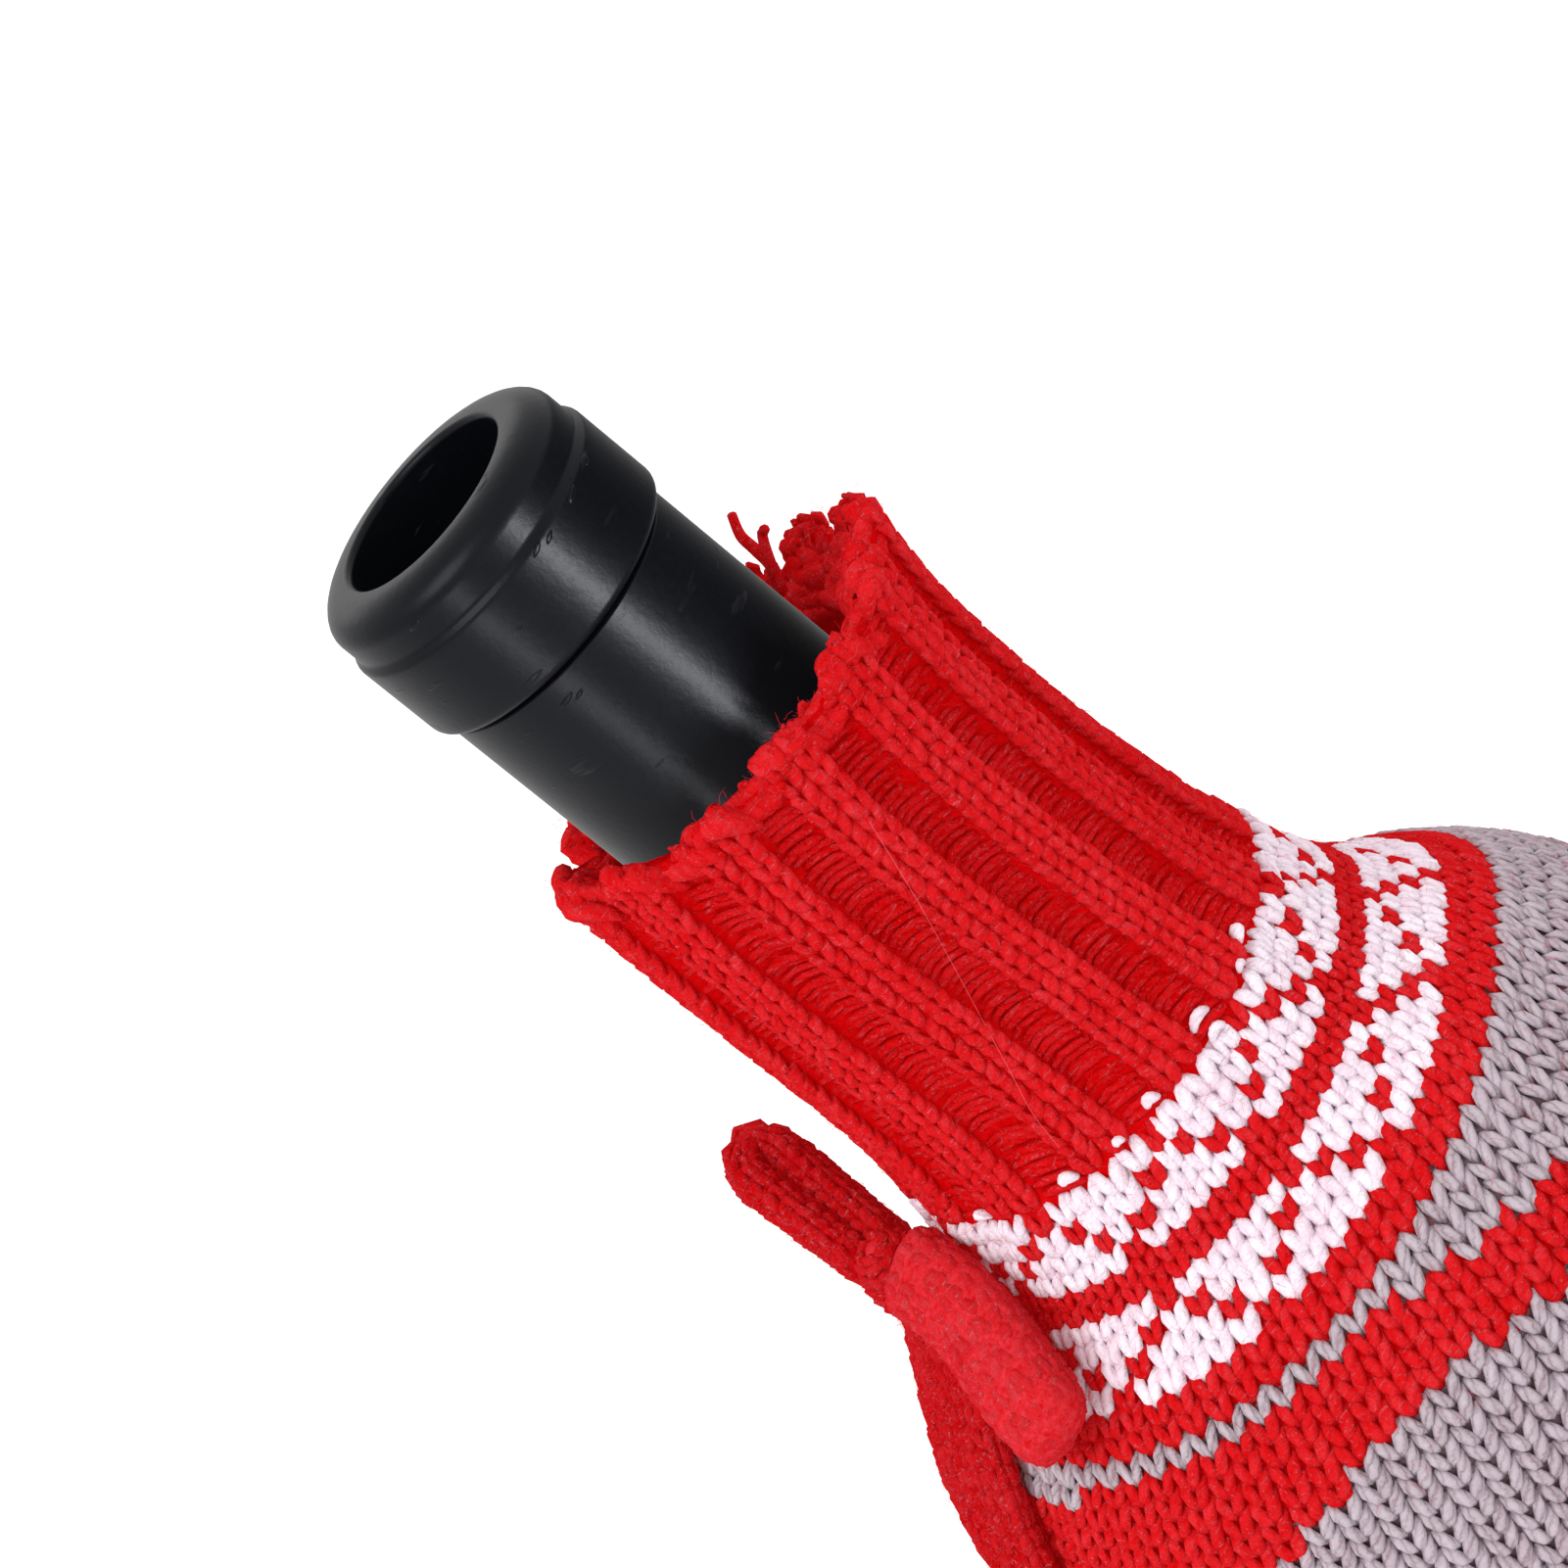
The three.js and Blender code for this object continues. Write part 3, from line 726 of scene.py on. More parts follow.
def bottle_material():
    """Satin black moulded bottle: faint mould ripples, tiny nicks near the finish, soft scuffs."""
    m = new_material("bottle_black")
    place = m.place()
    cloud = m.noise(38.0, 3.0, place)
    grain = m.noise(1400.0, 3.0, place, 0.6)
    parts = m.axes(place)
    squash = m.new("ShaderNodeCombineXYZ", [(axis, m.scaled(parts[axis], scale))
                                            for axis, scale in zip("XYZ", NICK_SCALES)])
    nicks = m.ramp(m.noise(1.0, 2.0, squash.outputs[0]), (0.68, (0, 0, 0, 1)), (0.76, (1, 1, 1, 1)))
    colour = m.ramp(m.scaled(grain, 0.3, m.scaled(cloud, 0.7)),
                    (0.25, (0.0012, 0.0014, 0.0022, 1)), (0.75, (0.003, 0.0034, 0.005, 1)))
    colour = m.mix(m.scaled(nicks, 0.1), colour, (0.03, 0.032, 0.04, 1))
    rough = m.scaled(cloud, 0.10, m.scaled(grain, 0.06, 0.25))
    ripple = m.scaled(cloud, 0.2, m.scaled(grain, 0.12))
    height = m.scaled(nicks, 0.5, ripple)
    m.set(Base_Color=colour, Roughness=rough, Normal=m.bump(height, 0.35, 0.0005), IOR=1.23,
          Specular_IOR_Level=0.5, Specular_Tint=(0.92, 0.93, 1, 1))
    return m.owner


BOTTLE_BLACK = bottle_material()
bottle = lathe("bottle_body", bottle_profile(), BOTTLE_SIDES, BOTTLE_BLACK)
marks = mould_marks(BOTTLE_BLACK)
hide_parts("bottle")
for piece in (bottle, marks):
    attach(piece, "root")

# ---- stitches of the cover

# One leg of a knit loop, from its foot upwards: sideways (wales), along (rows), outwards (mm), plumpness.
LEG = np.array([
    (0.07, 0.06, -0.72, 0.62),
    (0.158, -0.40, 0.02, 0.97),
    (0.295, -0.98, 0.10, 1.00),
    (0.405, -1.46, -0.56, 0.64),
])
GREY_LEG = np.array([
    (0.055, 0.09, -0.72, 0.62),
    (0.15, -0.36, 0.02, 0.97),
    (0.30, -0.90, 0.10, 1.00),
    (0.425, -1.37, -0.56, 0.64),
])
COLLAR_LEG = np.array([
    (0.08, 0.02, -0.52, 0.62),
    (0.165, -0.44, 0.0, 0.95),
    (0.285, -1.02, 0.05, 1.00),
    (0.38, -1.48, -0.42, 0.64),
])
PLAIN_LEG = np.array([
    (0.06, 0.05, -0.62, 0.64),
    (0.225, -0.64, 0.14, 1.04),
    (0.425, -1.37, -0.52, 0.68),
])
# How unevenly legs lie: sideways (wales), along (rows), outwards (mm), one leg from the other (rows).
KNIT_SHAKE = (0.018, 0.035, 0.05, 0.03)
# How far out the legs' tables start from the cover's outer face, in mm, and how plump most legs are.
KNIT_LIFT = -0.3
FULL = 1.06
# Half a leg's width: its share of the space between two wales, more mm, the least, the most, and how much
# it varies.
LEG_SHARE, LEG_MORE, LEG_LEAST, LEG_MOST, LEG_VARIES = 0.178, 0.06, 0.44, 0.78, 0.05
# The rows and the front wales that the photo shows close by, whose legs have more points.
NEAR_ROWS = 22
FRONT_ROWS = 38
FRONT_WALES = range(-15, 17)
HEM_TOP = int((down_of(HEM_HEIGHT) - ROW_FOOT[-1]) / ROW_PITCH) + len(ROW_FOOT) - 1


def knit_legs(name, stitches, leg, sides, material, plump=FULL, flat=0.72):
    """Both legs of every stitch in a list of (wale, row). flat is their height as a share of their width."""
    wale, row = np.array(stitches, float).T
    across, along, out, plumpness = leg.T
    aside, down, lift, split = (jitter(len(wale), 4) * KNIT_SHAKE).T[:, :, None]
    legs = []
    for hand in (-1, 1):
        p, n = cover_frame(*knit_place(wale[:, None] + hand * across + aside,
                                       row[:, None] + along + down + hand * split))
        legs.append((p + n * (out + KNIT_LIFT + lift)[..., None], n))
    left, right = (cover_point(*knit_place(wale + side, row - 0.7)) for side in (-0.5, 0.5))
    pitch = np.linalg.norm(right - left, axis=-1)
    half = np.clip(LEG_SHARE * pitch + LEG_MORE, LEG_LEAST, LEG_MOST) * plump
    half *= 1 + LEG_VARIES * jitter(len(wale))
    width = np.concatenate([half, half])[:, None] * plumpness
    return strands(name, *joined(legs), width, flat * width, sides, material)


near, far = ({RED: [], WHITE: [], GREY: []} for _ in range(2))
for row in range(1, HEM_TOP + 1):
    for wale in range(-WALES // 2, WALES // 2):
        close = row <= NEAR_ROWS or (row <= FRONT_ROWS and wale in FRONT_WALES)
        (near if close else far)[yarn_colour(wale, row)].append((wale, row))
middle = (NEAR_ROWS + HEM_TOP) // 2

pieces = [
    knit_legs("knit_red_yoke", near[RED], LEG, 6, RED_YARN, flat=0.6),
    knit_legs("knit_white_motif", near[WHITE], LEG, 6, WHITE_YARN, plump=1.3),
    knit_legs("knit_grey_yoke", near[GREY], GREY_LEG, 6, GREY_YARN, plump=1.0),
    knit_legs("knit_red_band", far[RED], PLAIN_LEG, 4, RED_YARN),
    knit_legs("knit_grey_body_upper", [s for s in far[GREY] if s[1] <= middle], PLAIN_LEG, 4, GREY_YARN),
    knit_legs("knit_grey_body_lower", [s for s in far[GREY] if s[1] > middle], PLAIN_LEG, 4, GREY_YARN),
]

# ---- ribbing

# One purl bump: sideways (shares of its width), down (mm), outwards (mm), plumpness.
PURL_BUMP = np.array([(-0.5, 0.2, -0.30, 0.76), (-0.24, -0.02, 0.0, 1.0),
                      (0.24, -0.02, 0.0, 1.0), (0.5, 0.2, -0.30, 0.76)])
# Painted shade: the purl bumps in the collar's valleys are darker than the knit stitches.
PURL_PAINTED_SHADE = -0.9
# How unevenly these lie: sideways (ribs), down (mm), outwards (mm), and one leg from the other (mm), or
# how much a bump's size varies.
RIB_SHAKE = (0.004, 0.07, 0.05, 0.08)
PURL_SHAKE = (0.016, 0.12, 0.12, 0.12)
RIB_LEG_SHARE, RIB_LEG_LEAST, RIB_LEG_MOST = 0.42, 0.4, 0.72
# Only the hem's ribs, which stand straight, are farther down the cloth than this.
HEM_FROM = 60
HEM_PITCH = 1.8
# The feet of the ribs' stitches, in mm down the cloth: the collar's, the hem's, those seen inside the rim,
# and the bumps in the collar's valleys.
COLLAR_FEET = 2.2 - COLLAR_PITCH * np.arange(COLLAR_ROWS + 1)
HEM_FEET = down_of(HEM_HEIGHT) + 1.4 + HEM_PITCH * np.arange(9)
INNER_FEET = COLLAR_FEET[COLLAR_FEET < -33]
RUNG_FEET = np.arange(COLLAR_FEET[-1] - 0.6, COLLAR_FEET[0], COLLAR_PITCH / 2)


def rib_columns(middle, apart, half):
    """Wales in each rib as (rib number, half the wale's width, in ribs), each apart from the middle."""
    sides = (-apart, apart) if apart else (0,)
    return [(rib + middle + side, half) for rib in range(RIBS) for side in sides]


def on_rib(number, down, lift, inside):
    """Points and normals a little off the ribbing's outer or inner face."""
    angle = rib_angle(number, down) if down.min() < HEM_FROM else number * 360 / RIBS
    p, n = cover_frame(angle, down + course_drop(angle, down))
    if inside:
        p, n = p - n * COVER_THICKNESS, -n
    return p + n * lift[..., None], n


def rib_stitches(name, feet, pitch, columns, leg, sides, plump=1.0, inside=False):
    """Knit wales of a two by two rib."""
    across, along, out, plumpness = leg.T
    legs, halves = [], []
    for x, half in columns:
        for hand in (-1, 1):
            aside, below, lift, split = (jitter(len(feet), 4) * RIB_SHAKE).T[:, :, None]
            legs.append(on_rib(x + hand * across * 2 * half + aside,
                               feet[:, None] + along * pitch + below + hand * split,
                               out + KNIT_LIFT + lift, inside))
            halves.append(np.full(len(feet), half * 360 / RIBS))
    line, normal = joined(legs)
    radius = np.linalg.norm(line[:, 2, :2], axis=-1)
    half = np.concatenate(halves) * TAU / 360 * radius * RIB_LEG_SHARE
    half = np.clip(half, RIB_LEG_LEAST, RIB_LEG_MOST) * plump
    width = (half * (1 + LEG_VARIES * jitter(len(half))))[:, None] * plumpness
    return strands(name, line, normal, width, 0.62 * width, sides, RED_YARN)


def purl_bumps(name, feet, columns, lift, size=0.78, bend=1, slant=0, inside=False):
    """The short humps that a purl wale shows."""
    across, along, out, plumpness = PURL_BUMP.T
    bumps = []
    for x, half in columns:
        aside, below, off, larger = (jitter(len(feet), 4) * PURL_SHAKE).T[:, :, None]
        bumps.append((*on_rib(x + across * 2.2 * half + aside,
                              feet[:, None] + bend * along + slant * across + below,
                              out + lift + off, inside), size * (1 + larger) * plumpness))
    line, normal, width = joined(bumps)
    return strands(name, line, normal, width, 0.75 * width, 5, RED_YARN, PURL_PAINTED_SHADE)


KNIT_COLUMNS = rib_columns(0, 0.155, 0.16)
pieces += [
    rib_stitches("rib_collar_knit", COLLAR_FEET, COLLAR_PITCH, KNIT_COLUMNS, COLLAR_LEG, 6, FULL),
    purl_bumps("rib_collar_purl", RUNG_FEET, rib_columns(0.5, 0, 0.165), -0.32, 0.5, 0.5, 0.7),
    rib_stitches("rib_inside_knit", INNER_FEET, COLLAR_PITCH, rib_columns(0.5, 0.1, 0.1), PLAIN_LEG, 5,
                 1.25, inside=True),
    purl_bumps("rib_inside_purl", INNER_FEET, rib_columns(0, 0.155, 0.128), -0.2, inside=True),
    rib_stitches("rib_hem_knit", HEM_FEET, HEM_PITCH, KNIT_COLUMNS, PLAIN_LEG, 5),
    purl_bumps("rib_hem_purl", HEM_FEET - 0.6, rib_columns(0.5, 0.09, 0.085), -0.12),
]

# ---- cast-off and cast-on edges

EDGE_LOOPS = 42
# The edge's three chains: how far on round it they lie (loops), on which side of it, and how high (mm).
EDGE_CHAIN = ((0, 1, 0), (0.33, 0.1, 0.55), (0.66, -0.9, 0))
# How much loops vary in length and lie out of line outwards and upwards, at the edge and in the curl.
EDGE_SHAKE = (0.18, 0.25, 0.35, 0)
CURL_SHAKE = (0.15, 0.25, 0.3, 0)
SIZE_VARIES = 0.12
# How far down the ribs both edges take their turn from, and over what turn the edge sinks to the back.
EDGE_TURN_AT = -47
BACK_FROM, BACK_TO = 70, 110
CAST_ON_HEIGHT = 3.9
# How plump a short loop is along its length.
LOOP_PLUMP = np.array([0.55, 0.9, 1.0, 1.0, 0.9, 0.55])
# The back of the edge curls in towards the neck: turn from the front, and how far in and down it goes.
CURL_FROM, CURL_TO = 35, 215
CURL_DEPTH, CURL_DROP = 6.5, 3.0
CURL_LAYERS, CURL_LOOPS, CURL_SIZE = 6, 24, 1.05


def edge_loops(name, down, reach, size, wild, bulge=0.0, back_drop=0.0):
    """Chains of plump loops over the cloth's edge. They bulge at the ribs and sink at the back."""
    pitch = RIBS / EDGE_LOOPS
    x = (np.arange(EDGE_LOOPS)[:, None] + 0.5) * pitch
    upward = UP if down < 0 else -UP
    steps = np.linspace(-1, 1, 8)
    loops = []
    for offset, side, rise in EDGE_CHAIN:
        longer, off, higher, _ = (wild * jitter(EDGE_LOOPS, 4) * EDGE_SHAKE).T[:, :, None]
        number = x + pitch * (offset + steps * 0.66 * (1 + longer))
        angle = rib_angle(number, EDGE_TURN_AT)
        p, n = cover_frame(angle, down - rim_rise(angle, down))
        out = -0.5 * COVER_THICKNESS + side * (0.75 + off) + 0.4 * steps
        up = rise + reach * (1 - steps ** 2) + higher - 0.55 * steps
        up += bulge * (1 - rib_depth(number))
        up -= back_drop * smooth_step(BACK_FROM, BACK_TO, np.abs(wrapped(angle)))
        loops.append((p + n * out[..., None] + upward * up[..., None], n + 0.8 * UP))
    line, normal = joined(loops)
    plump = np.sqrt(1.15 - steps ** 2) * size * (1 + SIZE_VARIES * wild * jitter(len(line), 1))
    return strands(name, line, normal, plump, plump, 8, RED_YARN)


def edge_curl(name):
    """Rows of loops that roll over the edge at the back and down inside it."""
    span = CURL_TO - CURL_FROM
    steps = np.linspace(-1, 1, len(LOOP_PLUMP))
    loops = []
    for layer in range(CURL_LAYERS):
        share = (layer + 1) / CURL_LAYERS
        longer, off, higher, _ = (jitter(CURL_LOOPS, 4) * CURL_SHAKE).T[:, :, None]
        middle = CURL_FROM + (np.arange(CURL_LOOPS) + 0.5 * (layer % 2) + 0.5) * span / CURL_LOOPS
        angle = middle[:, None] + steps * 0.62 * span / CURL_LOOPS * (1 + longer)
        fade = np.sin(np.clip((angle - CURL_FROM) / span, 0, 1) * math.pi) ** 0.6
        p, n = cover_frame(angle, COLLAR_FEET[-1] + 0.4 - rim_rise(angle, COLLAR_FEET[-1]))
        inward = COVER_THICKNESS / 2 + CURL_DEPTH * share * fade + off
        up = 0.9 * (1 - steps ** 2) * (1 - share) - CURL_DROP * share ** 1.6 * fade + higher
        loops.append((p - n * inward[..., None] + UP * up[..., None], UP - 0.8 * share * n))
    line, normal = joined(loops)
    plump = LOOP_PLUMP * CURL_SIZE * (1 + SIZE_VARIES * jitter(len(line), 1))
    return strands(name, line, normal, plump, plump, 8, RED_YARN)


pieces += [
    edge_loops("edge_cast_off", COLLAR_FEET[-1] + 0.25, 0.8, 1.0, 1.0, 1.1, 0.9),
    edge_loops("edge_cast_on", down_of(CAST_ON_HEIGHT), 0.1, 0.85, 0.3),
    edge_curl("edge_curl"),
]

# ---- single yarns and loose fibres

# Two short yarn ends left at the cast-off, standing off the curled edge.
YARN_ENDS = (
    ((14.2, 8.6, 265.2), (15.4, 9.6, 267.0), (15.75, 12.3, 268.5), (15.9, 14.3, 269.5),
     (16.9, 16.6, 270.6)),
    ((14.2, 8.6, 265.4), (15.8, 8.8, 268.2), (17.2, 10.3, 269.6), (17.6, 9.4, 270.0)),
)
YARN_END_SIZE = 0.66
# One long pale hair that lies across the front of the collar: angle, height, lift.
LONG_HAIR = ((3, 257, 0.5), (-3, 249.5, 0.7), (-10, 242, 0.6), (-20, 232, 0.7), (-25, 227, 0.6),
             (-27, 223, 0.5))
LONG_HAIR_SIZE = 0.017
# White purl bumps that show under the collar's valleys: angle, mm down the cloth, width in degrees, size.
WHITE_DASHES = (
    (-32.5, 1.3, 4.2, 0.62), (-17.2, 1.3, 1.8, 0.45), (-5.8, 1.1, 3.4, 0.6), (15.5, 0.1, 6.2, 0.56),
    (15.5, 2.0, 4.6, 0.5), (30.5, 0.7, 2.2, 0.4), (38.2, -0.2, 3.8, 0.7), (64, 1.2, 4.5, 0.55),
    (90, 1.6, 5, 0.55), (116, 1.0, 4.5, 0.55), (-60, 1.0, 4.2, 0.55), (-86, 0.6, 4.6, 0.55),
    (-112, 0.6, 5, 0.55), (141, 1, 4.6, 0.55), (-138, 1, 4.5, 0.55), (167, 1, 5, 0.55))
# The red fibres over the collar and the yoke: how many, from and to what mm down the cloth, how long.
COVER_FUZZ = (("fuzz_collar", 2600, -46.5, 3, 1.3), ("fuzz_yoke", 1500, 3, 42, 1.2))
EDGE_FUZZ, EDGE_FUZZ_AT = 500, -46.4
FUZZ_SIZE, TIE_FUZZ_SIZE = 0.016, 0.014


def smooth_path(rows, spacing):
    """Even points along a smooth curve through the given points."""
    p = np.array(rows, float)
    p = np.concatenate([[2 * p[0] - p[1]], p, [2 * p[-1] - p[-2]]])
    fine = []
    for i in range(1, len(p) - 2):
        x0, x1, x2, x3 = p[i - 1:i + 3]
        d0, d1, d2 = (np.linalg.norm(b - a) ** 0.5 for a, b in ((x0, x1), (x1, x2), (x2, x3)))
        t1 = ((x1 - x0) / d0 - (x2 - x0) / (d0 + d1) + (x2 - x1) / d1) * d1
        t2 = ((x2 - x1) / d1 - (x3 - x1) / (d1 + d2) + (x3 - x2) / d2) * d1
        t = np.linspace(0, 1, 40, endpoint=False)[:, None]
        fine.append((2 * x1 - 2 * x2 + t1 + t2) * t ** 3 + (-3 * x1 + 3 * x2 - 2 * t1 - t2) * t * t
                    + t1 * t + x1)
    fine = np.concatenate(fine + [p[-2:-1]])
    length = np.concatenate([[0], np.cumsum(np.linalg.norm(np.diff(fine, axis=0), axis=1))])
    steps = max(int(round(length[-1] / spacing)), 4)
    even = np.linspace(0, length[-1], steps + 1)
    return np.stack([np.interp(even, length, fine[:, k]) for k in range(3)], -1), length[-1]


def single_yarn(name, line, normal, size, sides, material):
    return strands(name, line[None], np.array(normal), size, size, sides, material)


def white_dashes(name):
    """The white purl bumps."""
    angle, down, width, plump = np.array(WHITE_DASHES).T[:, :, None]
    steps = np.linspace(-0.5, 0.5, len(LOOP_PLUMP))
    point, normal = cover_frame(angle + steps * width, down + 2.0 * (steps ** 2 - 0.1))
    size = plump * LOOP_PLUMP
    line = point + normal * (0.4 - 2.4 * steps ** 2)[:, None]
    return strands(name, line, normal, size, size, 8, WHITE_YARN)


def fibres(name, root, normal, reach, rise, thickness):
    """Thin bent hairs that lie over the yarn, each lifting off it a little."""
    count = len(root)
    swing = unit(np.cross(normal, jitter(count, 3)))
    side = np.cross(normal, swing)
    length = reach * (0.5 + RNG.random((count, 1)))
    bend = 0.5 * jitter(count, 1)
    lift = rise * (0.3 + RNG.random((count, 1)) ** 2 * 1.6)
    line = np.stack([root + swing * length * t + side * length * bend * t * t
                     + normal * (lift * t * (1.6 - 0.6 * t)) for t in (0, 0.55, 1)], 1)
    taper = thickness * np.array([1, 0.95, 0.6])
    return strands(name, line, normal[:, None], taper, taper, 3, FUZZ_RED)


def cover_fuzz(name, count, low, high, reach):
    """Fibres at random points just under the faces of the stitches."""
    angle = RNG.uniform(-180, 180, count)
    point, normal = cover_frame(angle, RNG.uniform(low, high, count))
    point += normal * RNG.uniform(-0.1, 0.3, (count, 1))
    return fibres(name, point, normal, reach, 0.35, FUZZ_SIZE)


def edge_fuzz(name):
    """Fibres that stand up from the cast-off edge."""
    angle = RNG.uniform(-180, 180, EDGE_FUZZ)
    point, normal = cover_frame(angle, np.full(EDGE_FUZZ, EDGE_FUZZ_AT))
    normal = unit(normal * RNG.uniform(-0.8, 1, (EDGE_FUZZ, 1)) + UP)
    point[:, 2] -= RNG.uniform(-0.1, 1.5, EDGE_FUZZ)
    return fibres(name, point, normal, 0.6, 0.25, FUZZ_SIZE)


for number, rows in enumerate(YARN_ENDS):
    line, _ = smooth_path(rows, 0.5)
    size = YARN_END_SIZE * np.linspace(1, 0.75, len(line))
    pieces.append(single_yarn("yarn_end_%d" % number, line, (0.6, -0.6, 0.5), size, 8, RED_YARN))
pieces.append(white_dashes("white_dashes"))
pieces += [cover_fuzz(*row) for row in COVER_FUZZ]
pieces.append(edge_fuzz("fuzz_edge"))
line, _ = smooth_path([cover_point(angle, down_of(z), lift) for angle, z, lift in LONG_HAIR], 1.0)
pieces.append(single_yarn("long_hair", line, (0.0, -1.0, 0.3), LONG_HAIR_SIZE, 4, FUZZ_PALE))

# ---- ground sheet of the cover

SHEET_COLUMNS = 144
# How far under the cover's outer face the sheet lies, in mm, and how much less under ribs and valleys.
SHEET_SINK, RIB_LESS, VALLEY_LESS = 0.85, 0.25, 0.1
# The material slot of the collar's own ground, after those of the three colours.
RIB_SLOT = 3
# How far down the cloth the collar's own ground ends, and the height up to which the hem's is red, in mm.
RIB_GROUND_END = 3.4
HEM_GROUND_TOP = 18
# The sheet's rows, as (from, to, step) in mm down the cloth.
SHEET_ROWS = ((COLLAR_FEET[-1] - 1.5, 2, 2.0), (2, 46, 1.4), (46, 60, 2.1), (60, down_of(24), 4.0))
SHEET_FOOT = np.linspace(down_of(22), down_of(0.6), 10)


def cloth_slots(centre):
    """The material slot of each face of the cloth: the colour of the stitch nearest to its centre."""
    knit = [(colour, *spot) for group in (near, far) for colour, spots in group.items() for spot in spots]
    colours, wales, rows = np.array(knit).T
    tree = KDTree(len(knit))
    for number, spot in enumerate(cover_point(*knit_place(wales, rows - 0.72))):
        tree.insert(spot, number)
    tree.balance()
    turn = np.degrees(np.arctan2(centre[:, 0], -centre[:, 1]))
    first = height_of(RIB_GROUND_END + course_drop(turn, RIB_GROUND_END))
    slot = np.where(centre[:, 2] > first, RIB_SLOT, RED)
    for q in np.flatnonzero((centre[:, 2] > HEM_GROUND_TOP) & (centre[:, 2] < first)):
        slot[q] = colours[tree.find(centre[q])[1]]
    return slot


def ground_sheet():
    """The cloth itself: one closed sheet, a little under the faces of the stitches."""
    downs = np.concatenate([np.arange(*row) for row in SHEET_ROWS] + [SHEET_FOOT])
    angle, down = np.meshgrid(np.arange(SHEET_COLUMNS) * 360 / SHEET_COLUMNS, downs)
    down = down - rim_rise(angle, down)
    p, n = cover_frame(angle, down)
    valley = rib_depth(rib_number(angle, down)) * rib_ease(down)
    outer = p - n * (SHEET_SINK - RIB_LESS * rib_ease(down) - VALLEY_LESS * valley)[..., None]
    inner = cover_point(angle, down, -COVER_THICKNESS)
    points = np.concatenate([outer.reshape(-1, 3), inner.reshape(-1, 3)])
    faces = ring_quads(len(downs), SHEET_COLUMNS)
    half, last = len(points) // 2, len(points) // 2 - SHEET_COLUMNS
    s = np.arange(SHEET_COLUMNS)
    t = (s + 1) % SHEET_COLUMNS
    quads = np.concatenate([
        faces[:, ::-1], faces + half, np.stack([s, t, t + half, s + half], -1),
        np.stack([last + t, last + s, last + s + half, last + t + half], -1)])
    return make_object("cover_cloth", points, quads, [], face_slot=cloth_slots(points[quads].mean(1)),
                       slots=[RED_GROUND, WHITE_GROUND, GREY_GROUND, RIB_GROUND])


cover_cloth = ground_sheet()
for piece in pieces:
    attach(piece, "root")
    piece.visible_glossy = False
cover_cloth.visible_glossy = False
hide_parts("cover")
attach(cover_cloth, "root")

# ---- tie

# One leg of the tie's stitches, in the columns of LEG.
BAND_LEG = np.array([
    (0.05, 0.05, -0.5, 0.55),
    (0.15, -0.35, -0.05, 0.95),
    (0.28, -0.85, 0.05, 1.0),
    (0.42, -1.35, -0.4, 0.6),
])
TIE_WALES = 8
TIE_PITCH = 2.1
BAND_SIDES = 20
# How far a band's ends are rounded, in mm, how square its section is (1 is an oval), and how wide, in mm,
# the fold of a loop is.
BAND_END, BAND_POWER, BAND_FOLD = 2.2, 0.75, 3.4
KNOT_SIDES, KNOT_ROWS, KNOT_SINK = 24, 13, 0.5
# The knot's columns of stitches: how many, how far apart, the knot's girth, and the painted shade that
# darkens its stitches.
KNOT_COLUMNS, KNOT_COLUMN_WIDTH, KNOT_GIRTH, KNOT_PAINTED_SHADE = 5, 0.5, 4.2, -0.8
# Loose fibres on each mm of the front loop, and of the other bands.
FRONT_FUZZ, OTHER_FUZZ = 20, 12


